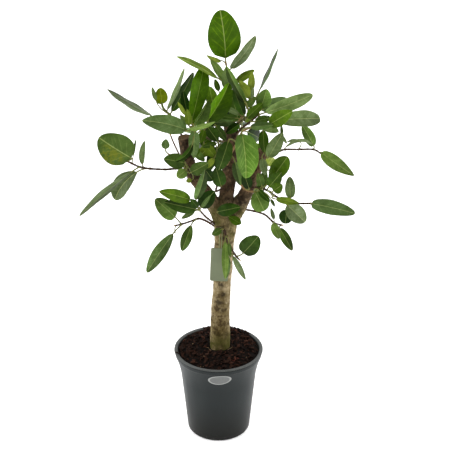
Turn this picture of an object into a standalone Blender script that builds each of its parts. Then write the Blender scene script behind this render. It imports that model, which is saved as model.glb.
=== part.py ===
"""A potted ficus audrey: one bare trunk, three pruned limbs and their leafy twigs, in a nursery pot.

Units are metres unless a name or a comment says millimetres. +Z is up, z = 0 is the surface that the
pot stands on, the pot is centred on the origin and the tree's front faces -Y.

Places in the tree are written the way a person in front of it sees them, in millimetres: to the right
and up on a plane that squarely faces that person through the crown, then back along +Y.
"""
import math
import random
from dataclasses import dataclass

import bmesh
import bpy
import numpy as np

# The pot, a turned plastic shell
POT_HEIGHT = 0.245
RIM_RADIUS = 0.120
RIM_DEPTH = 0.0150
LIP_DEPTH = 0.0046
SKIRT_RADII = (0.1190, 0.1172)
SKIRT_THICKNESS = 0.0018
LIP_INNER_RADIUS = 0.1098
LIP_HEIGHT = 0.2418
THROAT_HEIGHT = 0.228
FOOT_RADIUS = 0.0850
FOOT_CORNER = 0.0065
WALL_FLARE = 0.0980
WALL_THICKNESS = 0.002
FLOOR_TOP = 0.006
CHANNEL_TOP = 0.0025
CHANNEL_RADII = (0.0335, 0.0725)
DRAIN_COUNT = 6
DRAIN_RADIUS = 0.0045
DRAIN_RING_RADIUS = 0.053
TURNS = 36

# The soil, heaped a little above the rim round the trunk
SOIL_EDGE_HEIGHT = 0.2398
SOIL_CROWN_HEIGHT = 0.2545
SOIL_LUMP = 0.0016
CLEARANCE = 0.0003

# Leaves and twigs
BLADE_THICKNESS = 0.0008
STALK_RADIUS = 0.0014
TWIG_ROOT_RADIUS = 0.0026
TWIG_TIP_RADIUS = 0.0019
WOOD_CLEARANCE = 0.00035
FLAT_BLADE_WIDTH = 31
LONG_BLADE = 0.085
SHORT_BLADE = 0.045
LONG_STALK = 0.022

# The label that hangs from a twig, and the oval sticker on the pot
LABEL_WIDTH = 0.047
LABEL_HEIGHT = 0.094
LABEL_THICKNESS = 0.0008
LABEL_CORNER = 0.003
LABEL_LEAN = math.radians(2.3)
LOOP_RADIUS = 0.0006
STICKER_WIDTH = 0.063
STICKER_HEIGHT = 0.031
STICKER_THICKNESS = 0.0006
STICKER_CENTRE = (0.0035, 0.208)
STICKER_TILT = math.radians(4.0)

# Where a person stands who sees the tree as it is measured here
VIEWPOINT = np.array((0.0175, -2.239, 1.580))
LOOK_DOWN = math.radians(23.5)
CROWN = np.array((0.0, 0.0, 0.7426))
RIGHTWARD = np.array((1.0, 0.0, 0.0))
UPWARD = np.array((0.0, math.sin(LOOK_DOWN), math.cos(LOOK_DOWN)))
TOWARD = np.array((0.0, -math.cos(LOOK_DOWN), math.sin(LOOK_DOWN)))

# The wood: places along each axis, with the radius there in millimetres
TRUNK = [
    ((4, -495, 0), 29), ((5, -430, 0), 27.5), ((7, -325, 0), 24), ((10, -280, 0), 23.5),
    ((15.5, -165, 0), 26), ((18.5, -130, 0), 28.5), ((20, -100, 0), 27),
]
LEFT_LIMB = [
    ((11, -120, 0), 20), ((-11, -73, -4), 19), ((-40, -30, -8), 16.5), ((-63, 0, -14), 16),
    ((-75, 38, -18), 16), ((-83, 95, -22), 16.5),
]
CENTRE_LIMB = [
    ((18, -115, 0), 24), ((19, -75, 2), 19.5), ((24, -30, 8), 18.5), ((30, 12, 12), 18),
    ((32, 62, 18), 17), ((32, 122, 25), 16.5),
]
RIGHT_LIMB = [
    ((26, -118, 0), 22), ((48, -86, -2), 20.5), ((73, -38, -4), 17), ((95, 12, -6), 14),
    ((110, 50, -8), 12.5), ((113, 64, -9), 12),
]
WOOD = {"trunk": TRUNK, "left": LEFT_LIMB, "centre": CENTRE_LIMB, "right": RIGHT_LIMB}


@dataclass
class Leaf:
    """One leaf on its stalk. Its blade runs from base to tip, bowed, folded and turned.

    node is the place on the twig where the stalk leaves it, counted in the twig's points. width is in
    millimetres. roll turns the blade about its own length and fold raises its two halves, in degrees.
    arch and sway bow the blade out of its plane and sideways, as shares of its length. widest is the
    share of the length where the blade is widest, and a smaller blunt makes both its ends rounder.
    """

    node: float
    base: tuple
    tip: tuple
    width: float
    roll: float = 0.0
    fold: float = 8.0
    arch: float = 0.06
    sway: float = 0.0
    widest: float = 0.44
    blunt: float = 0.6


@dataclass
class Shoot:
    """A twig, as a list of places from its root inside the wood to its end, and its leaves."""

    twig: list
    leaves: list


def left_far():
    """A long bare twig to the far left, with a big round leaf at its end and two hanging ones."""
    twig = [(-75, 12, -14), (-102, 16, -46), (-132, 14, -65), (-170, 16, -84), (-195, 20, -97),
            (-215, 29, -108), (-228, 35, -116)]
    return Shoot(twig, [
        Leaf(6, (-216, 42, -122), (-298, 94, -151), 77, roll=-12, fold=6, blunt=0.5),
        Leaf(3, (-202, 8, -68), (-258, -62, -59), 40, roll=20, fold=18, sway=0.06, widest=0.56),
        Leaf(4, (-216, 8, -130), (-347, -103, -202), 44, roll=60, fold=10, arch=0.02, widest=0.5),
        Leaf(5, (-212, 48, -116), (-205, 90, -119), 6),
        Leaf(3.6, (-189, 26, -94), (-183, 86, -100), 15, sway=-0.05),
    ])


def left_upper():
    """The twig at the left limb's cut end: a long blade seen on its edge and three upright ones."""
    twig = [(-84, 84, -20), (-97, 112, 19), (-108, 135, 40), (-120, 151, 57)]
    return Shoot(twig, [
        Leaf(3, (-140, 177, 54), (-145, 218, 51), 33, roll=10, blunt=0.5),
        Leaf(3, (-167, 148, 46), (-277, 215, 14), 40, roll=-68, arch=0.02),
        Leaf(3, (-127, 163, 57), (-84, 268, 94), 28, roll=-56, arch=-0.03),
        Leaf(3, (-116, 158, 68), (-61, 257, 108), 36, roll=48, arch=0.03),
        Leaf(3, (-155, 186, 40), (-165, 220, 38), 11),
    ])


def left_crown():
    """The crowded twig in front of the left limb's top, with the widest leaves of the left side."""
    twig = [(-77, 58, -20), (-70, 82, -49), (-65, 105, -62), (-62, 122, -68)]
    return Shoot(twig, [
        Leaf(2.5, (-78, 112, -81), (-190, 136, -135), 44, roll=-15, sway=0.05),
        Leaf(3, (-66, 134, -62), (-36, 270, 14), 45, roll=14, fold=16, widest=0.56, blunt=0.5),
        Leaf(3, (-76, 148, -46), (-88, 210, -27), 22),
        Leaf(3, (-82, 150, -84), (-100, 182, -89), 10),
        Leaf(3, (-72, 124, -89), (-77, 165, -89), 17),
        Leaf(3, (-76, 126, -76), (-95, 150, -72), 13),
        Leaf(3, (-60, 125, -97), (-24, 188, -100), 40, roll=42, fold=44),
        Leaf(2.5, (-74, 111, -116), (-8, 133, -151), 20, roll=62, arch=0.02),
        Leaf(2.5, (-58, 110, -92), (-60, 42, -81), 27, roll=10, widest=0.35),
        Leaf(1, (-50, 72, -68), (-57, 45, -70), 15),
        Leaf(1, (-62, 62, -57), (-33, 35, -60), 19),
        Leaf(2.5, (-64, 78, -108), (-110, 34, -127), 15, sway=-0.15),
    ])


def left_front():
    """A thin forward twig of small leaves round the left limb's middle."""
    twig = [(-76, 36, -18), (-92, 42, -62), (-108, 46, -78), (-120, 50, -84)]
    return Shoot(twig, [
        Leaf(1, (-82, 30, -70), (-136, 40, -103), 38, roll=8),
        Leaf(3, (-132, 65, -86), (-130, 90, -89), 20),
        Leaf(1, (-80, 12, -68), (-102, -6, -76), 26, blunt=0.5),
        Leaf(1, (-66, -12, -65), (-80, -16, -68), 12),
        Leaf(1, (-68, 6, -70), (-24, 30, -84), 32, roll=10),
        Leaf(1, (-118, 98, -62), (-121, 106, -62), 4),
    ])


def left_mid():
    """A short twig out of the fork, to the left and forward."""
    twig = [(-8, -122, -6), (-30, -105, -54), (-45, -89, -65)]
    return Shoot(twig, [
        Leaf(2, (-68, -62, -86), (-147, -41, -130), 32, roll=10),
        Leaf(2, (-54, -86, -73), (-134, -68, -105), 33),
        Leaf(2, (-58, -90, -70), (-92, -109, -81), 13),
        Leaf(2, (-55, -62, -81), (-32, 14, -113), 28, roll=30),
        Leaf(2, (-45, -80, -73), (-8, -40, -84), 38),
        Leaf(2, (-42, -82, -89), (-18, -50, -100), 11),
        Leaf(2, (-50, -82, -94), (-68, -60, -103), 18),
    ])


def left_low():
    """The low, bare twig to the left, with two leaves that hang."""
    twig = [(-2, -132, 0), (-24, -118, 22), (-36, -112, 32), (-50, -109, 40), (-70, -116, 49),
            (-88, -122, 57), (-105, -126, 62)]
    return Shoot(twig, [
        Leaf(5.2, (-106, -106, 54), (-157, -60, 27), 46, roll=10, blunt=0.5),
        Leaf(3, (-67, -125, 27), (-90, -190, 14), 28, widest=0.5),
        Leaf(5, (-112, -146, 46), (-178, -244, 8), 37, roll=10, widest=0.5),
        Leaf(6, (-108, -140, 57), (-107, -146, 57), 4),
    ])


def front_hanging():
    """The twig that droops in front of the fork and carries the label."""
    twig = [(-4, -128, -12), (15, -138, -44), (20, -152, -52), (32, -180, -58), (42, -198, -62),
            (52, -210, -64)]
    return Shoot(twig, [
        Leaf(4.4, (62, -196, -70), (101, -153, -86), 50, roll=5, blunt=0.5),
        Leaf(2, (18, -165, -70), (18, -260, -88), 18),
        Leaf(4, (25, -202, -60), (20, -258, -62), 18),
        Leaf(4, (37, -202, -66), (69, -262, -80), 16),
        Leaf(2, (27, -168, -78), (31, -206, -82), 10),
        Leaf(1, (8, -135, -50), (-15, -150, -54), 19),
    ])


def trunk_front():
    """A stub on the fork's front with two leaves that lie across it."""
    twig = [(4, -96, -6), (2, -94, -36)]
    return Shoot(twig, [
        Leaf(1, (-2, -92, -40), (56, -80, -64), 32),
        Leaf(1, (25, -103, -46), (58, -122, -60), 22, widest=0.6),
    ])


def centre_low():
    """A small twig low on the centre limb."""
    twig = [(22, -35, 8), (8, -36, -22), (-5, -40, -35), (-2, -26, -43), (2, -14, -49)]
    return Shoot(twig, [
        Leaf(3, (8, -28, -46), (-5, 19, -59), 34, blunt=0.5),
        Leaf(4, (-12, -14, -51), (-32, 14, -68), 28),
    ])


def centre_left():
    """The twig between the left and centre limbs, with a big folded leaf on top."""
    twig = [(30, 82, 20), (5, 85, -11), (-12, 88, -24), (-30, 95, -32), (-30, 118, -40),
            (-25, 134, -49)]
    return Shoot(twig, [
        Leaf(5, (-27, 134, -57), (28, 230, -40), 60, roll=36, fold=32),
        Leaf(4, (-24, 126, -14), (28, 160, 14), 32),
        Leaf(3, (-26, 120, -46), (0, 84, -62), 27),
        Leaf(2, (-6, 124, -40), (20, 86, -40), 20),
        Leaf(3, (-32, 74, -59), (-6, 44, -68), 24),
        Leaf(2, (-10, 42, -73), (-28, 18, -81), 15),
        Leaf(2, (-3, 80, -54), (-40, 70, -62), 14),
        Leaf(5, (-10, 166, -14), (-22, 222, 19), 30),
        Leaf(4, (-34, 114, -50), (-44, 80, -56), 20),
        Leaf(2, (-10, 78, -34), (-50, 44, -44), 30, roll=12),
        Leaf(1, (6, 76, -22), (-3, 14, -34), 26),
        Leaf(1.4, (2, 70, -30), (-28, 30, -52), 24),
        Leaf(2, (-16, 100, -14), (-42, 74, -14), 26),
        Leaf(1.2, (-4, 60, -8), (-28, 6, -12), 24),
    ])


def centre_front():
    """The twig in front of the centre limb, with the big light leaf that hangs forward."""
    twig = [(22, 18, 12), (28, 40, -19), (38, 65, -38), (48, 80, -46), (60, 108, -54),
            (80, 118, -62)]
    return Shoot(twig, [
        Leaf(5, (60, 104, -97), (70, -8, -146), 68, roll=-28, fold=25, blunt=0.5),
        Leaf(5, (80, 120, -81), (138, 125, -94), 20),
        Leaf(3, (26, 85, -70), (2, 12, -76), 38, roll=-10),
        Leaf(1.4, (42, 34, -42), (56, -26, -46), 24),
    ])


def centre_right_low():
    """A tan twig between the centre and right limbs."""
    twig = [(36, 16, 14), (50, -8, -24), (58, -25, -40), (72, -38, -49), (90, -42, -57)]
    return Shoot(twig, [
        Leaf(4, (92, -42, -65), (116, -90, -76), 47, widest=0.55, blunt=0.5),
        Leaf(4, (102, -38, -89), (130, -67, -103), 16),
        Leaf(4, (132, -60, -113), (142, -79, -119), 8),
        Leaf(2.6, (78, -34, -62), (64, 6, -73), 27),
    ])


def top():
    """The tallest twig, with the big upright leaf that tops the tree."""
    twig = [(36, 116, 26), (62, 148, 40), (55, 165, 40), (42, 188, 40), (30, 225, 43),
            (20, 278, 46)]
    return Shoot(twig, [
        Leaf(5, (19, 291, 46), (5, 413, 27), 80, fold=5, sway=0.02, blunt=0.5),
        Leaf(5, (8, 286, 40), (-28, 300, 35), 15, roll=30, sway=-0.18),
        Leaf(4.4, (15, 238, 27), (-19, 288, 19), 22, roll=20),
        Leaf(4.8, (32, 265, 40), (94, 348, 27), 36, roll=50, blunt=0.5),
        Leaf(4, (0, 242, 8), (-104, 296, -27), 34, roll=54, arch=0.04),
        Leaf(4.2, (16, 218, 14), (20, 270, 14), 18),
        Leaf(3.8, (2, 210, 14), (-8, 240, 8), 9),
    ])


def centre_right():
    """The twig right of the centre limb's top, full of young and edge-on leaves."""
    twig = [(40, 112, 24), (58, 134, 3), (70, 143, -8), (80, 165, -5), (80, 190, 0)]
    return Shoot(twig, [
        Leaf(2, (68, 182, -32), (20, 274, -40), 36, roll=-60, arch=0.03),
        Leaf(4, (44, 232, 35), (91, 263, 46), 20),
        Leaf(4, (82, 208, -8), (85, 258, -8), 18),
        Leaf(4, (80, 192, -16), (54, 236, -8), 24),
        Leaf(4, (85, 190, -24), (88, 220, -24), 9),
        Leaf(3, (72, 170, -19), (94, 196, -22), 18),
        Leaf(3, (104, 212, 19), (150, 316, 40), 34, roll=74, arch=0.0, sway=0.03),
        Leaf(3, (107, 166, -28), (122, 215, -20), 38, roll=10),
        Leaf(2, (72, 142, -30), (112, 180, -40), 24),
        Leaf(1, (44, 134, -10), (-12, 130, -22), 24),
        Leaf(2, (66, 148, -16), (38, 218, -24), 24, roll=-14),
        Leaf(1.5, (54, 128, -20), (20, 104, -30), 22),
        Leaf(2, (56, 150, -14), (6, 172, -22), 15, roll=20),
        Leaf(1.6, (48, 142, -24), (-6, 148, -34), 13),
        Leaf(3, (70, 172, 14), (46, 210, 20), 22),
        Leaf(1, (62, 138, 16), (90, 142, 34), 18),
    ])


def right_crown():
    """The twig that holds the right crown's level leaves."""
    twig = [(40, 100, 22), (66, 122, 0), (84, 136, -22), (100, 150, -32)]
    return Shoot(twig, [
        Leaf(3, (118, 156, -54), (237, 201, -103), 34, roll=20, widest=0.55, blunt=0.45),
        Leaf(3, (140, 136, -19), (256, 141, 27), 43, roll=-10, widest=0.6, blunt=0.4),
        Leaf(3, (128, 126, -81), (186, 160, -108), 36, widest=0.42),
        Leaf(3, (108, 162, -14), (172, 192, 27), 30),
        Leaf(2, (92, 134, -54), (134, 144, -62), 20),
        Leaf(2, (104, 128, -34), (152, 108, -44), 24),
    ])


def right_mid():
    """A short twig at the right limb's top."""
    twig = [(108, 44, -8), (118, 56, -35), (128, 68, -46)]
    return Shoot(twig, [
        Leaf(1, (126, 44, -57), (162, 106, -84), 34),
        Leaf(2, (160, 96, -59), (158, 128, -62), 8),
        Leaf(2, (160, 98, -76), (172, 78, -81), 8),
        Leaf(1, (112, 112, -49), (116, 56, -54), 25),
        Leaf(1, (110, 42, -46), (118, 0, -57), 20),
    ])


def right_upper():
    """The long twig to the upper right, leaning back, with one drooping leaf."""
    twig = [(103, 32, -6), (130, 50, 27), (155, 60, 46), (168, 64, 54), (202, 64, 70),
            (238, 64, 84), (256, 55, 89)]
    return Shoot(twig, [
        Leaf(6, (257, 57, 86), (341, -2, 54), 36, roll=15, widest=0.38, blunt=0.7),
        Leaf(5, (240, 72, 81), (211, 124, 89), 30, roll=10, blunt=0.5),
        Leaf(3, (168, 69, 49), (236, 76, 68), 10, roll=30, sway=-0.24),
        Leaf(4, (206, 82, 76), (172, 82, 68), 9, sway=0.12),
    ])


def right_lower():
    """The long twig to the right, coming forward, with the most leaves."""
    twig = [(78, -32, -6), (105, -32, -40), (130, -42, -54), (142, -52, -62), (162, -62, -76),
            (180, -70, -84), (205, -71, -94), (232, -71, -105)]
    return Shoot(twig, [
        Leaf(7, (232, -71, -108), (343, -96, -162), 37, roll=-10, blunt=0.5),
        Leaf(5, (181, -58, -76), (179, -4, -76), 26, blunt=0.5),
        Leaf(3, (145, -60, -113), (202, -70, -130), 18),
        Leaf(5, (172, -74, -103), (218, -118, -130), 43, widest=0.5, blunt=0.5),
        Leaf(5, (172, -86, -78), (168, -122, -81), 36, blunt=0.5),
        Leaf(1, (128, -18, -68), (174, 46, -94), 43, widest=0.62, blunt=0.5),
        Leaf(2, (127, -30, -89), (158, 6, -113), 34),
        Leaf(3, (138, -40, -103), (161, -24, -113), 28),
        Leaf(1, (110, -28, -81), (100, 5, -89), 20),
        Leaf(0.8, (106, -40, -40), (119, 14, -38), 24),
    ])


def right_low():
    """The lowest twig on the right, leaning back."""
    twig = [(48, -84, 4), (85, -89, 35), (115, -98, 46), (130, -110, 51), (140, -119, 54),
            (158, -125, 59)]
    return Shoot(twig, [
        Leaf(4, (140, -111, 51), (132, -82, 40), 11),
        Leaf(4, (137, -120, 43), (153, -160, 32), 24),
        Leaf(5, (154, -132, 57), (186, -189, 49), 26),
    ])


def back_low():
    """A twig behind the fork."""
    twig = [(14, -60, 8), (14, -54, 62), (18, -46, 108), (22, -36, 140)]
    return Shoot(twig, [
        Leaf(2, (4, -66, 130), (-42, -66, 190), 40),
        Leaf(3, (24, -24, 162), (24, 54, 256), 44, roll=30),
        Leaf(3, (38, -66, 157), (72, -62, 202), 40),
        Leaf(1, (14, -76, 94), (22, -118, 130), 36),
    ])


def back_left():
    """A twig behind the left limb."""
    twig = [(-82, 78, -16), (-76, 84, 32), (-66, 92, 70), (-56, 100, 105)]
    return Shoot(twig, [
        Leaf(3, (-44, 112, 130), (-20, 126, 216), 40, roll=-30),
        Leaf(3, (-62, 104, 124), (-74, 118, 230), 42, roll=20),
        Leaf(2, (-52, 80, 100), (-44, 60, 189), 38),
        Leaf(3, (-56, 122, 116), (-58, 190, 157), 42),
    ])


def back_centre():
    """A twig behind the centre limb."""
    twig = [(32, 70, 20), (40, 84, 70), (46, 96, 113), (54, 110, 157)]
    return Shoot(twig, [
        Leaf(3, (60, 124, 184), (60, 130, 297), 44, roll=10),
        Leaf(3, (74, 108, 162), (104, 92, 216), 42),
        Leaf(2, (34, 84, 135), (12, 60, 216), 42),
        Leaf(2, (60, 80, 124), (76, 46, 162), 40),
        Leaf(3, (52, 132, 162), (36, 196, 176), 44),
    ])


def back_right():
    """A twig behind the right limb."""
    twig = [(90, 4, -4), (98, 10, 32), (108, 12, 73), (120, 12, 111)]
    return Shoot(twig, [
        Leaf(3, (130, 10, 130), (154, -8, 176), 40),
        Leaf(3, (124, 24, 135), (138, 44, 189), 40),
        Leaf(2, (104, -6, 103), (96, -52, 148), 38),
        Leaf(2, (100, 30, 94), (98, 80, 130), 38),
    ])


SHOOTS = (
    left_far, left_upper, left_crown, left_front, left_mid, left_low, front_hanging, trunk_front,
    centre_low, centre_left, centre_front, centre_right_low, top, centre_right, right_crown, right_mid,
    right_upper, right_lower, right_low, back_low, back_left, back_centre, back_right,
)


def place(right, up, back):
    """The point at depth `back` that shows `right` and `up` of the crown, all in millimetres."""
    seen = CROWN + (right * RIGHTWARD + up * UPWARD) / 1000
    share = (back / 1000 - VIEWPOINT[1]) / (seen[1] - VIEWPOINT[1])
    return VIEWPOINT + (seen - VIEWPOINT) * share


def unit(vector):
    """The vector's direction, with length one."""
    return vector / np.linalg.norm(vector)


def collection(name):
    """A new collection of that name in the scene."""
    made = bpy.data.collections.new(name)
    bpy.context.scene.collection.children.link(made)
    return made


def add_object(name, mesh, group):
    """A mesh object in the group."""
    made = bpy.data.objects.new(name, mesh)
    group.objects.link(made)
    return made


def tidy(mesh):
    """Weld a mesh's doubled corners and turn its faces outward."""
    work = bmesh.new()
    work.from_mesh(mesh)
    bmesh.ops.remove_doubles(work, verts=work.verts, dist=1e-5)
    bmesh.ops.recalc_face_normals(work, faces=work.faces)
    work.to_mesh(mesh)
    work.free()
    return mesh


def remove(things):
    """Take objects out of the file with their meshes or curves."""
    for thing in list(things):
        shape = thing.data
        bpy.data.objects.remove(thing)
        if isinstance(shape, bpy.types.Mesh):
            bpy.data.meshes.remove(shape)
        else:
            bpy.data.curves.remove(shape)


def apply_modifiers(thing):
    """Replace an object's mesh by what its modifiers make of it."""
    bpy.context.view_layer.update()
    finished = thing.evaluated_get(bpy.context.evaluated_depsgraph_get())
    mesh = bpy.data.meshes.new_from_object(finished)
    thing.modifiers.clear()
    thing.data = mesh


def fuse(thing, group, solver="EXACT"):
    """Join every object of a collection into the thing, and remove them and the collection."""
    union = thing.modifiers.new("grown together", "BOOLEAN")
    union.operation = "UNION"
    union.operand_type = "COLLECTION"
    union.collection = group
    union.solver = solver
    apply_modifiers(thing)
    remove(group.objects)
    bpy.data.collections.remove(group)


def cut(thing, cutter, solver="EXACT"):
    """Take the cutter's room out of the thing."""
    difference = thing.modifiers.new("clear of " + cutter.name, "BOOLEAN")
    difference.operation = "DIFFERENCE"
    difference.object = cutter
    difference.solver = solver
    apply_modifiers(thing)


def keep_largest(thing):
    """Drop the scraps of a cut, so that one closed body is left."""
    work = bmesh.new()
    work.from_mesh(thing.data)
    left = set(work.verts)
    bodies = []
    while left:
        body = {left.pop()}
        edge = list(body)
        while edge:
            near = [other for link in edge.pop().link_edges for other in link.verts if other in left]
            left.difference_update(near)
            body.update(near)
            edge += set(near)
        bodies.append(body)
    bodies.sort(key=len)
    for scrap in bodies[:-1]:
        bmesh.ops.delete(work, geom=list(scrap), context="VERTS")
    work.to_mesh(thing.data)
    work.free()


def tube(name, path, radii, resolution, group):
    """A closed tapered tube along a path, with 4 + 2 * resolution sides."""
    curve = bpy.data.curves.new(name, "CURVE")
    curve.dimensions = "3D"
    curve.bevel_depth = 1.0
    curve.bevel_resolution = resolution
    curve.use_fill_caps = True
    line = curve.splines.new("POLY")
    line.points.add(len(path) - 1)
    for point, spot, radius in zip(line.points, path, radii):
        point.co = (*spot, 1.0)
        point.radius = radius
    drawn = add_object(name, curve, group)
    bpy.context.view_layer.update()
    finished = drawn.evaluated_get(bpy.context.evaluated_depsgraph_get())
    mesh = tidy(bpy.data.meshes.new_from_object(finished))
    mesh.transform(drawn.matrix_world)
    remove([drawn])
    return add_object(name, mesh, group)


def leans_back(strip, corners):
    """Which way a strip's diagonal runs, so that both faces of a blade are split alike."""
    half = corners // 2
    if strip < half - 1:
        return 2 * strip >= half - 1
    if strip in (half - 1, corners - 1):
        return False
    return not leans_back(corners - 2 - strip, corners)


def loft(name, sections, group):
    """A closed body through unlike sections of the same number of corners."""
    corners = len(sections[0])
    faces = []
    for first in range(0, (len(sections) - 1) * corners, corners):
        for strip in range(corners):
            a = first + strip
            b = first + (strip + 1) % corners
            c, d = a + corners, b + corners
            if leans_back(strip, corners):
                faces += [(a, b, c), (b, d, c)]
            else:
                faces += [(a, b, d), (a, d, c)]
    last = (len(sections) - 1) * corners
    for corner in range(2, corners):
        beyond = (corner + 1) % corners
        faces.append((1, beyond, corner))
        faces.append((last + 1, last + corner, last + beyond))
    mesh = bpy.data.meshes.new(name)
    mesh.from_pydata([tuple(corner) for section in sections for corner in section], [], faces)
    return add_object(name, tidy(mesh), group)


def band(spot, flat, up, half, skin, lift=0.0, folded=True):
    """A blade's cross-section: its margins lifted from the midrib if it is folded, or flat."""
    left = spot - flat * half + up * lift
    right = spot + flat * half + up * lift
    if not folded:
        return [left + up * skin, right + up * skin, right - up * skin, left - up * skin]
    return [
        left + up * skin, spot + up * skin, right + up * skin,
        right - up * skin, spot - up * skin, left - up * skin,
    ]


def stalk_section(spot, flat, up, folded):
    """A stalk's cross-section, with as many corners as its blade's."""
    if not folded:
        return band(spot, flat, up, STALK_RADIUS, STALK_RADIUS, folded=False)
    side, high = flat * STALK_RADIUS, up * STALK_RADIUS
    return [
        spot - side + high / 2, spot + high, spot + side + high / 2,
        spot + side - high / 2, spot - high, spot - side - high / 2,
    ]


def blade_frame(leaf, share):
    """A place on the blade's midrib, with the ways ahead, up out of the blade and across it."""
    base, tip = place(*leaf.base), place(*leaf.tip)
    run = tip - base
    length = np.linalg.norm(run)
    heading = run / length
    facing = unit(TOWARD - heading * (TOWARD @ heading))
    side = np.cross(heading, facing)
    roll = math.radians(leaf.roll)
    up = facing * math.cos(roll) + side * math.sin(roll)
    bow = (up * leaf.arch + np.cross(heading, up) * leaf.sway) * length * 4
    spot = base + run * share + bow * share * (1 - share)
    ahead = unit(run + bow * (1 - 2 * share))
    up = unit(up - ahead * (up @ ahead))
    return spot, ahead, up, np.cross(ahead, up)


def half_width(leaf, share):
    """Half the blade's width at a share of its length: an oval, fuller toward its widest place."""
    swell = math.log(0.5) / math.log(leaf.widest)
    return max(leaf.width / 2000 * math.sin(math.pi * share ** swell) ** leaf.blunt, 0.0006)


def blade_stations(length):
    """The shares of a blade's length where it has a section, more on a longer blade."""
    if length > LONG_BLADE:
        return 0.1, 0.32, 0.6, 0.85, 0.998
    if length > SHORT_BLADE:
        return 0.13, 0.42, 0.78, 0.998
    return 0.22, 0.68, 0.998


def add_leaf(leaf, twig, group):
    """A leaf as one body, from the stalk's root inside the twig to the blade's tip."""
    before = min(int(leaf.node), len(twig) - 2)
    start = twig[before] + (twig[before + 1] - twig[before]) * (leaf.node - before)
    folded = leaf.width >= FLAT_BLADE_WIDTH
    base, ahead, up, flat = blade_frame(leaf, 0.0)
    reach = np.linalg.norm(base - start)
    bend = base - ahead * reach * 0.45
    sections = [stalk_section(base, flat, up, folded)]
    for share in (0.5, 0.0) if reach > LONG_STALK else (0.0,):
        spot = start * (1 - share) ** 2 + bend * 2 * share * (1 - share) + base * share ** 2
        ahead = unit((bend - start) * (1 - share) + (base - bend) * share)
        up = unit(up - ahead * (up @ ahead))
        sections.insert(0, stalk_section(spot, np.cross(ahead, up), up, folded))
    slope = math.radians(leaf.fold)
    for share in blade_stations(np.linalg.norm(place(*leaf.tip) - base)):
        spot, _, up, flat = blade_frame(leaf, share)
        half = half_width(leaf, share)
        skin = BLADE_THICKNESS / 2
        sections.append(band(spot, flat, up, half * math.cos(slope), skin, half * math.sin(slope), folded))
    return loft("leaf", sections, group)


def add_wood(name, grow, group):
    """The trunk and limbs grown together, made larger all round by `grow`."""
    limbs = collection("limbs")
    pieces = []
    for part, points in WOOD.items():
        path = [place(*spot) for spot, _ in points]
        path[0] = path[0] - unit(path[1] - path[0]) * grow
        radii = [radius / 1000 + grow for _, radius in points]
        pieces.append(tube(part, path, radii, 4, limbs))
    stem = pieces[0]
    limbs.objects.unlink(stem)
    group.objects.link(stem)
    stem.name = name
    fuse(stem, limbs)
    return stem


def add_shoot(make, wood_room, group):
    """A leafy shoot as one body, its root just clear of the wood that it grows from."""
    shoot = make()
    twig = [place(*spot) for spot in shoot.twig]
    radii = np.linspace(TWIG_ROOT_RADIUS, TWIG_TIP_RADIUS, len(twig))
    stem = tube("shoot_" + make.__name__, twig, radii, 0, group)
    leaves = collection("leaves")
    for leaf in shoot.leaves:
        add_leaf(leaf, twig, leaves)
    fuse(stem, leaves, "MANIFOLD")
    cut(stem, wood_room, "MANIFOLD")
    keep_largest(stem)
    return stem


def turned(name, profile, group):
    """A body turned about the vertical axis from its half profile, outer side downward."""
    mesh = bpy.data.meshes.new(name)
    mesh.from_pydata([(radius, 0, height) for radius, height in profile], [(i, i + 1) for i in
                     range(len(profile) - 1)], [])
    made = add_object(name, mesh, group)
    screw = made.modifiers.new("turned", "SCREW")
    screw.angle = 2 * math.pi
    screw.steps = screw.render_steps = TURNS
    screw.use_merge_vertices = True
    screw.merge_threshold = 1e-5
    apply_modifiers(made)
    tidy(made.data)
    return made


def wall_radius(height):
    """The pot wall's outer radius at a height."""
    return FOOT_RADIUS + WALL_FLARE * height


def inner_radius(height):
    """The pot's inner radius at a height: the wall's, widening above the throat to the lip."""
    wall = wall_radius(min(height, THROAT_HEIGHT)) - WALL_THICKNESS
    share = max(height - THROAT_HEIGHT, 0) / (LIP_HEIGHT - THROAT_HEIGHT)
    return wall + (LIP_INNER_RADIUS - wall) * share


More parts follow.
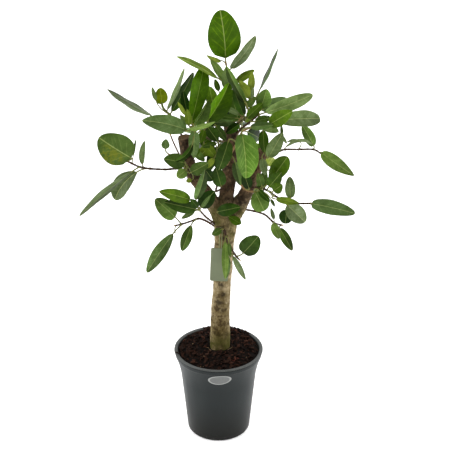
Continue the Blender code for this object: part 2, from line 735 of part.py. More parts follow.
def add_pot(group, cutters):
    """The pot: straight flared wall, thin lip over a hollow skirt, round foot and drain holes."""
    skirt_foot = POT_HEIGHT - RIM_DEPTH
    under_lip = POT_HEIGHT - LIP_DEPTH
    foot = wall_radius(FOOT_CORNER) - FOOT_CORNER
    round_foot = [(foot + FOOT_CORNER * math.cos(math.radians(turn)),
                   FOOT_CORNER * (1 - math.sin(math.radians(turn)))) for turn in (0, 30, 60, 90)]
    pot = turned("pot", [
        (0, FLOOR_TOP), (inner_radius(FLOOR_TOP) - 0.004, FLOOR_TOP),
        (inner_radius(FLOOR_TOP + 0.005), FLOOR_TOP + 0.005),
        (inner_radius(THROAT_HEIGHT), THROAT_HEIGHT), (LIP_INNER_RADIUS, LIP_HEIGHT),
        (LIP_INNER_RADIUS + 0.0026, POT_HEIGHT), (RIM_RADIUS - 0.0024, POT_HEIGHT),
        (RIM_RADIUS, POT_HEIGHT - 0.0020), (RIM_RADIUS - 0.0006, under_lip + 0.0006),
        (SKIRT_RADII[0], under_lip), (SKIRT_RADII[1], skirt_foot),
        (SKIRT_RADII[1] - SKIRT_THICKNESS, skirt_foot), (SKIRT_RADII[0] - SKIRT_THICKNESS, under_lip),
        (LIP_INNER_RADIUS + WALL_THICKNESS, under_lip), (wall_radius(THROAT_HEIGHT), THROAT_HEIGHT),
        *round_foot,
        (CHANNEL_RADII[1] + 0.0015, 0), (CHANNEL_RADII[1], CHANNEL_TOP),
        (CHANNEL_RADII[0], CHANNEL_TOP), (CHANNEL_RADII[0] - 0.0015, 0), (0, 0),
    ], group)
    drill = bmesh.new()
    for hole in range(DRAIN_COUNT):
        turn = 2 * math.pi * hole / DRAIN_COUNT
        made = bmesh.ops.create_cone(drill, cap_ends=True, segments=10, radius1=DRAIN_RADIUS,
                                     radius2=DRAIN_RADIUS, depth=0.02)
        centre = (DRAIN_RING_RADIUS * math.cos(turn), DRAIN_RING_RADIUS * math.sin(turn), FLOOR_TOP)
        bmesh.ops.translate(drill, verts=made["verts"], vec=centre)
    mesh = bpy.data.meshes.new("drain holes")
    drill.to_mesh(mesh)
    drill.free()
    cut(pot, add_object("drain holes", mesh, cutters))
    return pot


def add_soil(wood_room, group):
    """The bark mix: it fills the pot, is lumpy on top, and has a plain hole for the trunk's foot."""
    bottom = FLOOR_TOP + CLEARANCE
    edge = inner_radius(SOIL_EDGE_HEIGHT) - CLEARANCE
    soil = turned("soil", [
        (0, SOIL_CROWN_HEIGHT), (0.034, SOIL_CROWN_HEIGHT - 0.0005), (0.062, SOIL_CROWN_HEIGHT - 0.003),
        (0.085, SOIL_CROWN_HEIGHT - 0.007), (0.099, SOIL_EDGE_HEIGHT + 0.004), (edge, SOIL_EDGE_HEIGHT),
        (inner_radius(THROAT_HEIGHT) - CLEARANCE, THROAT_HEIGHT),
        (inner_radius(FLOOR_TOP + 0.005) - CLEARANCE, FLOOR_TOP + 0.005),
        (inner_radius(FLOOR_TOP) - 0.0043, bottom), (0, bottom),
    ], group)
    chance = random.Random(7)
    for corner in soil.data.vertices:
        if corner.co.z > SOIL_EDGE_HEIGHT + 0.001:
            corner.co.z += chance.uniform(-SOIL_LUMP, SOIL_LUMP)
    cut(soil, wood_room)
    keep_largest(soil)
    return soil


def add_label(group):
    """The hanging label: a thin card with rounded corners, leaning a little, and its loop."""
    top_centre = place(5.5, -182.5, -33)
    downward = np.array((-math.sin(LABEL_LEAN), 0.0, -math.cos(LABEL_LEAN)))
    across = np.array((math.cos(LABEL_LEAN), 0.0, -math.sin(LABEL_LEAN)))
    centre = top_centre + downward * LABEL_HEIGHT / 2
    card = bmesh.new()
    bmesh.ops.create_cube(card, size=1.0)
    for corner in card.verts:
        spot = centre + across * LABEL_WIDTH * corner.co.x - downward * LABEL_HEIGHT * corner.co.z
        spot[1] += LABEL_THICKNESS * corner.co.y
        corner.co = spot
    short = [edge for edge in card.edges if edge.calc_length() < 2 * LABEL_THICKNESS]
    bmesh.ops.bevel(card, geom=short, offset=LABEL_CORNER, segments=2, affect="EDGES")
    mesh = bpy.data.meshes.new("label")
    card.to_mesh(mesh)
    card.free()
    label = add_object("label", mesh, group)

    twig = [place(*spot) for spot in front_hanging().twig[:2]]
    hang = twig[0] + (twig[1] - twig[0]) * 0.6
    along = unit(twig[1] - twig[0])
    aside = unit(np.cross(along, (0.0, 0.0, 1.0)))
    over = np.cross(aside, along)
    reach = TWIG_ROOT_RADIUS + WOOD_CLEARANCE + LOOP_RADIUS
    if aside @ across < 0:
        aside = -aside
    loops = collection("loops")
    path = [
        top_centre - across * 0.003 + downward * 0.002,
        top_centre - across * 0.003 - downward * 0.002,
        hang - aside * reach - (0, 0, 0.012),
        hang - aside * (reach + 0.0004),
        hang - aside * reach * 0.6 + over * reach * 0.95,
        hang + aside * reach * 0.6 + over * reach * 0.95,
        hang + aside * (reach + 0.0004),
        hang + aside * reach - (0, 0, 0.012),
        top_centre + across * 0.003 - downward * 0.002,
        top_centre + across * 0.003 + downward * 0.002,
    ]
    tube("loop", path, [LOOP_RADIUS] * len(path), 1, loops)
    fuse(label, loops)
    keep_largest(label)
    return label


def add_sticker(group):
    """The oval sticker: a thin patch that follows the pot's round wall, turned a little."""
    inner = 0.0001
    sections = []
    columns = 16
    for column in range(columns + 1):
        share = -math.cos(math.pi * column / columns)
        tall = STICKER_HEIGHT / 2 * math.sqrt(max(1 - share * share, 0.002))
        section = []
        for up, out in ((tall, STICKER_THICKNESS), (-tall, STICKER_THICKNESS), (-tall, 0), (tall, 0)):
            right = share * STICKER_WIDTH / 2
            along = right * math.cos(STICKER_TILT) - up * math.sin(STICKER_TILT)
            height = STICKER_CENTRE[1] + right * math.sin(STICKER_TILT) + up * math.cos(STICKER_TILT)
            radius = wall_radius(height) + inner + out
            turn = (STICKER_CENTRE[0] + along) / wall_radius(STICKER_CENTRE[1])
            section.append((radius * math.sin(turn), -radius * math.cos(turn), height))
        sections.append(section)
    return loft("sticker", sections, group)


MATERIALS = {
    "pot": ((0.075, 0.080, 0.082), 0.42),
    "soil": ((0.045, 0.026, 0.018), 0.95),
    "trunk": ((0.33, 0.26, 0.18), 0.85),
    "label": ((0.30, 0.36, 0.28), 0.55),
    "sticker": ((0.62, 0.63, 0.61), 0.35),
    "shoot": ((0.085, 0.19, 0.035), 0.45),
}


def paint(thing):
    """Give a sub-part its own material, by the kind that its name starts with."""
    colour, roughness = MATERIALS[thing.name.split("_")[0]]
    material = bpy.data.materials.new(thing.name)
    material.use_nodes = True
    shader = material.node_tree.nodes["Principled BSDF"]
    shader.inputs["Base Color"].default_value = (*colour, 1.0)
    shader.inputs["Roughness"].default_value = roughness
    shader.inputs["Metallic"].default_value = 0.0
    thing.data.materials.clear()
    thing.data.materials.append(material)
    round_piece = thing.name in ("pot", "trunk", "soil")
    for face in thing.data.polygons:
        face.use_smooth = round_piece


def main():
    for thing in list(bpy.data.objects):
        bpy.data.objects.remove(thing)
    tree = collection("ficus_audrey")
    cutters = collection("cutters")
    wood_room = add_wood("wood room", WOOD_CLEARANCE, cutters)
    made = [add_pot(tree, cutters), add_soil(wood_room, tree), add_wood("trunk", 0.0, tree)]
    made += [add_shoot(make, wood_room, tree) for make in SHOOTS]
    made += [add_label(tree), add_sticker(tree)]
    for thing in made:
        paint(thing)
    for cutter in cutters.objects:
        cutter.hide_render = True
        cutter.display_type = "WIRE"


main()
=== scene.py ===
"""A potted ficus audrey, dressed over its frame: bare trunk, three pruned limbs and leafy twigs.

Units are metres unless a name or a comment says millimetres. The pot stands on z = 0, centred on
the origin, and the tree's front faces -Y.
"""
import math
import random

import bmesh
import bpy
import numpy as np
from mathutils import Matrix, Vector, noise


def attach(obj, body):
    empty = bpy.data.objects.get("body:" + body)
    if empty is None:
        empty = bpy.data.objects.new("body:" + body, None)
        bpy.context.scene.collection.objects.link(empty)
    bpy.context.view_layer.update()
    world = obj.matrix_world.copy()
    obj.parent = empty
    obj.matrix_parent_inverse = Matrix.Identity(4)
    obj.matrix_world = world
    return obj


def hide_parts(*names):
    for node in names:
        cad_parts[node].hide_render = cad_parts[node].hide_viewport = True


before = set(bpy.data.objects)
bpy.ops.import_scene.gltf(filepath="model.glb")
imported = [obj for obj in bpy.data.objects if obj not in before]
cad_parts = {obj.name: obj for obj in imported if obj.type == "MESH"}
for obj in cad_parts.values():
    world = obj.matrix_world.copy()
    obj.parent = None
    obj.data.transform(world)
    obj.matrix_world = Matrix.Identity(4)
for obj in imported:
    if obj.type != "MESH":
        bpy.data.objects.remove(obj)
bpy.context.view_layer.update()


# Camera
# The camera stands in front of the tree and looks down on it a little. Places in the tree are
# written as it sees them, in millimetres: to the right and up on a plane that squarely faces it
# through the crown, then back along +Y.
VIEWPOINT = np.array((0.0175, -2.239, 1.580))
LOOK_DOWN = math.radians(23.5)
PICTURE_PIXELS = 450
FOCAL_PIXELS = 955
FAR_CLIP = 60
CROWN = np.array((0.0, 0.0, 0.7426))
RIGHTWARD = np.array((1.0, 0.0, 0.0))
UPWARD = np.array((0.0, math.sin(LOOK_DOWN), math.cos(LOOK_DOWN)))
TOWARD = np.array((0.0, -math.cos(LOOK_DOWN), math.sin(LOOK_DOWN)))


def place(right, up, back):
    """The point that is seen at this place of the facing plane, at this depth along +Y."""
    seen = CROWN + (right * RIGHTWARD + up * UPWARD) / 1000
    share = (back / 1000 - VIEWPOINT[1]) / (seen[1] - VIEWPOINT[1])
    return VIEWPOINT + (seen - VIEWPOINT) * share


camera = bpy.data.objects.new("camera", bpy.data.cameras.new("camera"))
bpy.context.scene.collection.objects.link(camera)
camera.location = VIEWPOINT
camera.rotation_euler = (math.pi / 2 - LOOK_DOWN, 0, 0)
camera.data.lens = camera.data.sensor_width * FOCAL_PIXELS / PICTURE_PIXELS
camera.data.clip_end = FAR_CLIP
bpy.context.scene.camera = camera


# Pot
# A thin nursery pot, moulded in dark slate polypropylene: a straight flared wall with a satin
# skin that flares under a thin rolled lip and its short skirt, and a sunk ring of drain holes.
POT_HEIGHT = 0.245
RIM_RADIUS = 0.120
LIP_ROUND = 0.0022
LIP_INNER_RADIUS = 0.1098
LIP_HEIGHT = 0.2418
UNDER_LIP = 0.2404
SKIRT_TOP_RADIUS = 0.1190
SKIRT_FOOT_RADIUS = 0.1172
SKIRT_FOOT = 0.2300
SKIRT_FOLD = 0.0005
FLARE_FOOT = 0.1650
FLARE_OUT = 0.0091
THROAT_HEIGHT = 0.228
FOOT_RADIUS = 0.0850
FOOT_CORNER = 0.0065
WALL_SLOPE = 0.0980
WALL_THICKNESS = 0.002
FLOOR_TOP = 0.006
FLOOR_ROUND = 0.006
CHANNEL_TOP = 0.0025
CHANNEL_RADII = (0.0335, 0.0725)
CHANNEL_LEDGE = 0.0020
DRAIN_COUNT = 6
DRAIN_RADIUS = 0.0045
DRAIN_RING_RADIUS = 0.053
DRAIN_DEPTH = 0.02
POT_TURNS = 144
# Small forms of the pot's profile, as steps out and up from the wall's foot, the lip and the skirt's top
FLOOR_CORNER = [(-0.005, 0.0), (-0.001, 0.0015)]
LIP_ROLL = [(-0.0002, -0.001), (0.0006, 0.001), (0.0020, 0.0025), (0.0038, 0.0032)]
SKIRT_ROOT = [(-0.0009, 0.0001), (-0.0008, -0.0005)]
# Heights where a change in the plastic's colour starts and where it is done. The lip's top is painted paler
# as a highlight, and two dark bands are painted shadow: under the lip and at the skirt's foot.
DARK_FOOT = (0.15, 0.0)
SCUFFED_FOOT = (0.035, 0.004)
LIP_HIGHLIGHT = (0.2418, 0.2436)
SKIRT_SHADOW_BAND = ((0.2284, 0.2296), (0.2316, 0.2304))
LIP_SHADOW_BAND = ((0.2380, 0.2400), (0.2425, 0.2412))


def colour(red, green, blue):
    """A colour as the shader takes it, from its everyday 0 to 255 values."""
    return tuple((value / 255 / 12.92) if value < 10.3 else ((value / 255 + 0.055) / 1.055) ** 2.4
                 for value in (red, green, blue)) + (1.0,)


class Paint:
    """A procedural material, wired up node by node. Its values are numbers, colours or sockets."""

    def __init__(self, name, roughness=0.5, **sockets):
        self.material = bpy.data.materials.new(name)
        self.material.use_nodes = True
        self.tree = self.material.node_tree
        self.shader = self.tree.nodes["Principled BSDF"]
        self.shader.inputs["Roughness"].default_value = roughness
        for socket, value in sockets.items():
            self.shader.inputs[socket.replace("_", " ")].default_value = value

    def feed(self, socket, value):
        """Give a socket its value, or link it to where its value is made."""
        if isinstance(value, bpy.types.NodeSocket):
            self.tree.links.new(value, socket)
        else:
            socket.default_value = value

    def math(self, operation, first, second=0.0, third=0.0):
        """A sum on one or more values."""
        made = self.tree.nodes.new("ShaderNodeMath")
        made.operation = operation
        for socket, value in zip(made.inputs, (first, second, third)):
            self.feed(socket, value)
        return made.outputs[0]

    def times(self, first, second):
        """Two values multiplied."""
        return self.math("MULTIPLY", first, second)

    def step(self, value, low, high):
        """0 up to low and 1 from high on, or the other way round where low is the higher one, with
        a smooth way between them."""
        made = self.tree.nodes.new("ShaderNodeMapRange")
        made.interpolation_type = "SMOOTHSTEP"
        for socket, given in zip(made.inputs, (value, low, high, 0.0, 1.0)):
            self.feed(socket, given)
        return made.outputs[0]

    def band(self, value, rise, fall):
        """1 between the ends of its rise and of its fall, and 0 before the one and past the other."""
        return self.times(self.step(value, *rise), self.step(value, *fall))

    def scale(self, value, low, high):
        """A 0 to 1 value laid out from low to high."""
        return self.math("MULTIPLY_ADD", value, high - low, low)

    def mix(self, factor, first, second, blend="MIX"):
        """Two colours mixed."""
        made = self.tree.nodes.new("ShaderNodeMix")
        made.data_type, made.blend_type = "RGBA", blend
        for socket, value in ((0, factor), (6, first), (7, second)):
            self.feed(made.inputs[socket], value)
        return made.outputs[2]

    def over(self, base, where, strength, shade):
        """A colour with another one laid over it where a value is high, up to that strength."""
        return self.mix(self.times(where, strength), base, shade)

    def tint(self, factor, value, red, green, blue):
        """A colour with its red, green and blue made that many times as strong where factor is 1."""
        return self.mix(factor, value, (red, green, blue, 1.0), "MULTIPLY")

    def parts(self, vector):
        """The three parts of a vector."""
        made = self.tree.nodes.new("ShaderNodeSeparateXYZ")
        self.feed(made.inputs[0], vector)
        return made.outputs

    def attribute(self, name):
        """A value that the mesh carries."""
        made = self.tree.nodes.new("ShaderNodeAttribute")
        made.attribute_name = name
        return made.outputs

    def spot(self, stretch=(1, 1, 1)):
        """The place on the object, in metres, stretched along each axis."""
        where = self.tree.nodes.new("ShaderNodeTexCoord").outputs["Object"]
        made = self.tree.nodes.new("ShaderNodeMapping")
        self.feed(made.inputs["Vector"], where)
        made.inputs["Scale"].default_value = stretch
        return made.outputs[0]

    def noise(self, scale, stretch=(1, 1, 1), detail=3.0, roughness=0.55):
        """Cloudy noise from 0 to 1, its cells 1 / scale metres across before they are stretched."""
        made = self.tree.nodes.new("ShaderNodeTexNoise")
        self.feed(made.inputs["Vector"], self.spot(stretch))
        made.inputs["Scale"].default_value = scale
        made.inputs["Detail"].default_value = detail
        made.inputs["Roughness"].default_value = roughness
        return made.outputs[0]

    def bump(self, height, depth):
        """Fine relief: depth in metres for a height from 0 to 1."""
        made = self.tree.nodes.new("ShaderNodeBump")
        made.inputs["Strength"].default_value = 1.0
        made.inputs["Distance"].default_value = depth
        self.feed(made.inputs["Height"], height)
        return made.outputs[0]

    def finish(self, base, roughness=None, normal=None):
        """Feed the shader."""
        self.feed(self.shader.inputs["Base Color"], base)
        if roughness:
            self.feed(self.shader.inputs["Roughness"], roughness)
        if normal:
            self.feed(self.shader.inputs["Normal"], normal)
        return self.material


def piece(name, points, faces, materials, which=None, sharp=40):
    """A smooth mesh object. which says the material of each face, where there are several."""
    mesh = bpy.data.meshes.new(name)
    mesh.from_pydata([tuple(point) for point in points], [], faces)
    for material in materials:
        mesh.materials.append(material)
    if which is not None:
        mesh.polygons.foreach_set("material_index", which)
    mesh.shade_smooth()
    mesh.set_sharp_from_angle(angle=math.radians(sharp))
    made = bpy.data.objects.new(name, mesh)
    bpy.context.scene.collection.objects.link(made)
    return made


def wear(made, slot, *nodes):
    """Hang a finished piece on the frame in place of its plain nodes."""
    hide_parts(*nodes)
    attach(made, "root")


def apply_modifiers(thing):
    """Keep the mesh that the modifiers make."""
    made = bpy.data.meshes.new_from_object(thing.evaluated_get(bpy.context.evaluated_depsgraph_get()))
    old, thing.data = thing.data, made
    thing.modifiers.clear()
    bpy.data.meshes.remove(old)


def wall_radius(height):
    """The pot wall's outer radius at a height."""
    return FOOT_RADIUS + WALL_SLOPE * height


def outer_radius(height):
    """The wall's outer radius with the flare that runs out to the skirt."""
    share = max(0, (height - FLARE_FOOT) / (SKIRT_FOOT - FLARE_FOOT))
    return wall_radius(height) + FLARE_OUT * share ** 2


def inner_radius(height):
    """The pot's inner radius at a height: the wall's, widening above the throat to the lip."""
    wall = wall_radius(min(height, THROAT_HEIGHT)) - WALL_THICKNESS
    share = max(height - THROAT_HEIGHT, 0) / (LIP_HEIGHT - THROAT_HEIGHT)
    return wall + (LIP_INNER_RADIUS - wall) * share


def around(radius, degrees):
    """The place on a circle at an angle."""
    return radius * math.cos(math.radians(degrees)), radius * math.sin(math.radians(degrees))


def arc(centre, radius, start, end, count):
    """Points on a round corner of a half profile, between two angles in degrees."""
    turns = [around(radius, turn) for turn in np.linspace(start, end, count)]
    return [(centre[0] + out, centre[1] + up) for out, up in turns]


def pot_profile():
    """The pot's half profile, from the middle of its floor up the inside and down the outside."""
    inside = [(0, FLOOR_TOP)] + [(inner_radius(FLOOR_TOP) + out, FLOOR_TOP + up) for out, up in FLOOR_CORNER]
    inside += [(inner_radius(height), height)
               for height in np.linspace(FLOOR_TOP + FLOOR_ROUND, THROAT_HEIGHT, 24)]
    lip = [(LIP_INNER_RADIUS + out, LIP_HEIGHT + up) for out, up in LIP_ROLL]
    lip += arc((RIM_RADIUS - LIP_ROUND, POT_HEIGHT - LIP_ROUND), LIP_ROUND, 90, -62, 11)
    skirt = [(SKIRT_TOP_RADIUS + out, UNDER_LIP + up) for out, up in SKIRT_ROOT]
    skirt += [(SKIRT_FOOT_RADIUS + (SKIRT_TOP_RADIUS - SKIRT_FOOT_RADIUS) * share,
               SKIRT_FOOT + (UNDER_LIP - SKIRT_FOOT) * share) for share in np.linspace(0.88, 0.12, 6)]
    skirt += arc((SKIRT_FOOT_RADIUS - SKIRT_FOLD, SKIRT_FOOT + SKIRT_FOLD), SKIRT_FOLD, 0, -80, 6)
    flared = np.linspace(SKIRT_FOOT - 0.0004, FLARE_FOOT, 22)
    straight = np.linspace(FLARE_FOOT - 0.004, FOOT_CORNER + 0.0025, 28)
    outside = [(outer_radius(height), height) for height in (*flared, *straight)]
    foot = arc((wall_radius(FOOT_CORNER) - FOOT_CORNER, FOOT_CORNER), FOOT_CORNER, 0, -90, 9)[1:]
    inner, outer = CHANNEL_RADII
    corner = CHANNEL_LEDGE / 5
    channel = [(outer + CHANNEL_LEDGE, 0), (outer + corner, corner), (outer, CHANNEL_TOP),
               (inner, CHANNEL_TOP), (inner - corner, corner), (inner - CHANNEL_LEDGE, 0)]
    return inside + lip + skirt + outside + foot + channel + [(0, 0)]


def turned(name, profile, turns, materials):
    """A body turned about the vertical axis from its half profile."""
    points, faces = [], []
    for turn in range(turns):
        angle = 2 * math.pi * turn / turns
        points += [(r * math.cos(angle), r * math.sin(angle), z) for r, z in profile[1:-1]]
    count = len(profile) - 2
    points += [(0, 0, profile[0][1]), (0, 0, profile[-1][1])]
    for turn in range(turns):
        here, after = turn * count, (turn + 1) % turns * count
        faces.append((turns * count, here, after))
        faces.append((turns * count + 1, after + count - 1, here + count - 1))
        faces += [(here + k, here + k + 1, after + k + 1, after + k) for k in range(count - 1)]
    return piece(name, points, faces, materials)


def pot_plastic():
    """Slate plastic: a paler lip top that is a painted highlight, dark bands of painted shadow under the lip
    and at the skirt's foot, a darker foot with scuffs, and fine upright drag marks.
    """
    paint = Paint("slate_plastic", 0.4, Specular_IOR_Level=0.15)
    height = paint.parts(paint.spot())[2]
    scuffs = paint.step(paint.noise(95, (1, 1, 2.2), 6, 0.7), 0.57, 0.70)
    scuffs = paint.times(scuffs, paint.step(height, *SCUFFED_FOOT))
    wall = paint.mix(paint.noise(16, (1, 1, 0.35), 4), colour(22, 28, 29), colour(35, 40, 40))
    wall = paint.over(wall, paint.step(height, *DARK_FOOT), 0.9, colour(13, 13, 8))
    # Painted shadow: a dark band just under the lip.
    wall = paint.over(wall, paint.band(height, *LIP_SHADOW_BAND), 0.6, colour(10, 11, 10))
    # Painted shadow: a faint dark band at the skirt's foot, where the skirt shades the wall below it.
    wall = paint.over(wall, paint.band(height, *SKIRT_SHADOW_BAND), 0.6, colour(14, 16, 15))
    wall = paint.over(wall, scuffs, 0.35, colour(110, 106, 98))
    # Painted highlight: the lip's top is painted paler, for the light its top ring catches.
    lip_highlight = paint.mix(paint.noise(60), colour(62, 64, 63), colour(80, 82, 80))
    wall = paint.mix(paint.step(height, *LIP_HIGHLIGHT), wall, lip_highlight)
    rough = paint.scale(paint.noise(40, (1, 1, 0.3)), 0.34, 0.5)
    return paint.finish(wall, rough, paint.bump(paint.noise(900, (1, 1, 0.5), 2), 0.00006))


pot = turned("nursery_pot", pot_profile(), POT_TURNS, [pot_plastic()])
drill = bmesh.new()
for hole in range(DRAIN_COUNT):
    made = bmesh.ops.create_cone(drill, cap_ends=True, segments=28, radius1=DRAIN_RADIUS,
                                 radius2=DRAIN_RADIUS, depth=DRAIN_DEPTH)
    centre = (*around(DRAIN_RING_RADIUS, 360 * hole / DRAIN_COUNT), FLOOR_TOP)
    bmesh.ops.translate(drill, verts=made["verts"], vec=centre)
holes = piece("drain_holes", [], [], [])
drill.to_mesh(holes.data)
drill.free()
cutter = pot.modifiers.new("drain holes", "BOOLEAN")
cutter.operation, cutter.object = "DIFFERENCE", holes
apply_modifiers(pot)
bpy.data.objects.remove(holes)
wear(pot, "pot", "pot")


# Soil
# Coarse bark and peat, heaped a little above the rim round the trunk. The heap is a lumpy peat bed under many
# loose bark chips, with a few pale splinters and crumbs that lie over the lip. The bed is painted near black,
# for the shade in the gaps between the chips.
SOIL_EDGE_HEIGHT = 0.2398
SOIL_CROWN_HEIGHT = 0.2535
SOIL_FOOT = 0.21
SOIL_CORE_RADIUS = 0.022
SOIL_SINK = 0.0020
SOIL_LUMPS = 0.0026
SOIL_GAP = 0.0004
SOIL_TAPER = 0.97
SOIL_RINGS = 60
SOIL_TURNS = 150
TRUNK_FOOT = place(4, -495, 0)
TRUNK_FOOT_RADIUS = 0.0292
CHIP_COUNT = 950
CHIP_SIZE = 0.007
CHIP_SIZE_MORE = 0.013
CHIP_SPREAD = 0.1045
CHIP_CORNERS = 13
CHIP_TIP, BIT_TIP, CRUMB_TIP = 0.5, 0.4, 0.6
CHIP_COLOURS = [colour(34, 20, 13), colour(43, 26, 18), colour(52, 32, 23), colour(40, 22, 14),
                colour(26, 15, 10), colour(62, 37, 27)]
# Peat, painted near black for the shade in the gaps between the chips.
BED_AND_SHADE_COLOUR = colour(12, 7, 4)
RED_CHIP = colour(78, 38, 30)
PALE_CHIP = colour(128, 106, 80)
PALE_SIZE, RED_SIZE = 0.0055, 0.013
BIT_LIFT, SPLINTER_LIFT = 0.003, 0.0035
PALE_BITS = [(-0.038, -0.056), (-0.040, -0.094), (-0.047, -0.093), (0.074, -0.051), (-0.070, 0.012),
             (0.018, -0.083)]
RED_CHUNKS = [(0.044, -0.066), (0.052, -0.062), (0.038, -0.074)]
# Splinters, as (right, back, length, turn), and crumbs at the lip's left, as (right, back, height, size)
SPLINTERS = [(-0.0227, -0.0250, 0.012, -50), (0.0309, -0.0225, 0.019, 40), (-0.029, -0.017, 0.008, -35)]
LEFT_CRUMBS = [(-0.1110, -0.0290, 0.2468, 0.013), (-0.1065, -0.0325, 0.2463, 0.010),
               (-0.1150, -0.0250, 0.2462, 0.007)]
SPLINTER_RISE = 0.12
SPLINTER_HALF, SPLINTER_TWIST, SPLINTER_TOP = 0.0006, 0.0005, 0.0011
BACK_CRUMB_RADIUS, BACK_CRUMB_ROW = 0.1085, 0.0045
BACK_CRUMB_HEIGHT, BACK_CRUMB_STEP = 0.2458, 0.0010
BACK_CRUMB_SIZE, BACK_CRUMB_MORE = 0.0085, 0.0025
BACK_CRUMB_COUNT = 96
BACK_CRUMB_TURNS = (40, 112)


def soil_height(right, back):
    """The height of the heap's bed, falling from round the trunk to the pot's wall."""
    out = math.hypot(right, back) / inner_radius(SOIL_EDGE_HEIGHT)
    heap = SOIL_CROWN_HEIGHT - SOIL_EDGE_HEIGHT
    fall = heap * min(out, 1) ** 2.6 * (1 - 0.35 * max(0, back) / RIM_RADIUS)
    lumps = noise.fractal(Vector((right, back, 0.3)) * 55, 0.9, 2.1, 4)
    return SOIL_CROWN_HEIGHT - SOIL_SINK - fall + SOIL_LUMPS * lumps


def back_crumbs():
    """A loose row of crumbs on the lip at the back, three deep."""
    crumbs = []
    for count, turn in enumerate(np.linspace(*BACK_CRUMB_TURNS, BACK_CRUMB_COUNT)):
        out = BACK_CRUMB_RADIUS + (BACK_CRUMB_ROW - 0.00007 * abs(turn - 80)) * (count % 3)
        height = BACK_CRUMB_HEIGHT + BACK_CRUMB_STEP * (count % 2)
        size = BACK_CRUMB_SIZE + BACK_CRUMB_MORE * math.sin(turn * 7.3)
        crumbs.append((*around(out, turn), height, size))
    return crumbs


def peat():
    """Crumbly dark peat and bark: each chip's own colour, fibrous and matt, with pale dust."""
    paint = Paint("bark_and_peat", 0.9, Specular_IOR_Level=0.08)
    fibre = paint.noise(420, (1, 1.6, 0.6), 5, 0.7)
    dust = paint.step(paint.noise(1300, detail=2), 0.66, 0.8)
    base = paint.tint(paint.step(fibre, 0.7, 0.3), paint.attribute("chip")[0], 0.55, 0.52, 0.48)
    base = paint.over(base, dust, 0.2, colour(104, 72, 52))
    return paint.finish(base, paint.scale(fibre, 0.8, 0.98), paint.bump(fibre, 0.0006))


def add_hull(bed, layer, corners, tint):
    """A closed lump round scattered corners, in one colour."""
    hull = bmesh.ops.convex_hull(bed, input=[bed.verts.new(corner) for corner in corners])
    inside = [corner for corner in hull["geom_interior"] if isinstance(corner, bmesh.types.BMVert)]
    bmesh.ops.delete(bed, geom=inside, context="VERTS")
    for face in hull["geom"]:
        if isinstance(face, bmesh.types.BMFace):
            for loop in face.loops:
                loop[layer] = tint


def chip_points(chance, size):
    """A flat splintery lump, as scattered corners about a centre."""
    long = size * chance.uniform(0.8, 1.25)
    wide = size * chance.uniform(0.45, 0.8)
    thick = size * chance.uniform(0.18, 0.42)
    found = []
    for _ in range(CHIP_CORNERS):
        spot = Vector((chance.gauss(0, 1), chance.gauss(0, 1), chance.gauss(0, 1))).normalized()
        found.append(Vector((spot.x * long, spot.y * wide, spot.z * thick)) * chance.uniform(0.36, 0.5))
    return found


def add_chip(bed, layer, chance, size, spot, tint, tip):
    """One chip at a spot, turned any way and tipped over as far as tip, in radians, makes likely."""
    turned_by = Matrix.Rotation(chance.uniform(0, 6.3), 3, "Z")
    turned_by = turned_by @ Matrix.Rotation(chance.gauss(0, tip), 3, "X")
    turned_by = turned_by @ Matrix.Rotation(chance.gauss(0, tip), 3, "Y")
    corners = [spot + turned_by @ corner for corner in chip_points(chance, size)]
    shade = chance.uniform(0.5, 1.4)
    add_hull(bed, layer, corners, [part * shade for part in tint[:3]] + [1])


def add_splinter(bed, layer, spot, length, turn):
    """A thin pale splinter of wood that lies along a turn, tipped up a little."""
    ahead = Vector((*around(1, turn), SPLINTER_RISE))
    aside = Vector((-ahead.y, ahead.x, 0)) * SPLINTER_HALF
    up = Vector((0, 0, 1))
    corners = [spot + ahead * length * along + aside * way + up * SPLINTER_TWIST * way * along
               for along in (-0.5, -0.3, 0.3, 0.5) for way in (-1.0 + abs(along), 1.0 - abs(along))]
    corners += [spot + ahead * length * along + up * SPLINTER_TOP for along in (-0.42, 0.0, 0.42)]
    add_hull(bed, layer, corners, PALE_CHIP)


def add_chips(bed, chance):
    """Bark chips on the bed, tipped about and half sunk, then the bits, crumbs and splinters."""
    layer = bed.loops.layers.float_color.new("chip")
    # The bed between the chips is painted near black, as painted shade in the gaps.
    for face in bed.faces:
        for loop in face.loops:
            loop[layer] = BED_AND_SHADE_COLOUR
    for _ in range(CHIP_COUNT):
        size = CHIP_SIZE + CHIP_SIZE_MORE * chance.random() ** 1.6
        out, turn = CHIP_SPREAD * math.sqrt(chance.random()), chance.uniform(0, 2 * math.pi)
        right, back = out * math.cos(turn), out * math.sin(turn)
        if math.hypot(right - TRUNK_FOOT[0], back - TRUNK_FOOT[1]) < TRUNK_FOOT_RADIUS + size * 0.3:
            continue
        spot = Vector((right, back, soil_height(right, back) + size * chance.uniform(-0.08, 0.22)))
        add_chip(bed, layer, chance, size, spot, chance.choice(CHIP_COLOURS), CHIP_TIP)
    for places, size, tint in ((PALE_BITS, PALE_SIZE, PALE_CHIP), (RED_CHUNKS, RED_SIZE, RED_CHIP)):
        for right, back in places:
            spot = Vector((right, back, soil_height(right, back) + BIT_LIFT))
            add_chip(bed, layer, chance, size, spot, tint, BIT_TIP)
    for right, back, height, size in LEFT_CRUMBS + back_crumbs():
        spot = Vector((right, back, height))
        add_chip(bed, layer, chance, size, spot, chance.choice(CHIP_COLOURS[:4]), CRUMB_TIP)
    for right, back, length, turn in SPLINTERS:
        spot = Vector((right, back, soil_height(right, back) + SPLINTER_LIFT))
        add_splinter(bed, layer, spot, length, turn)


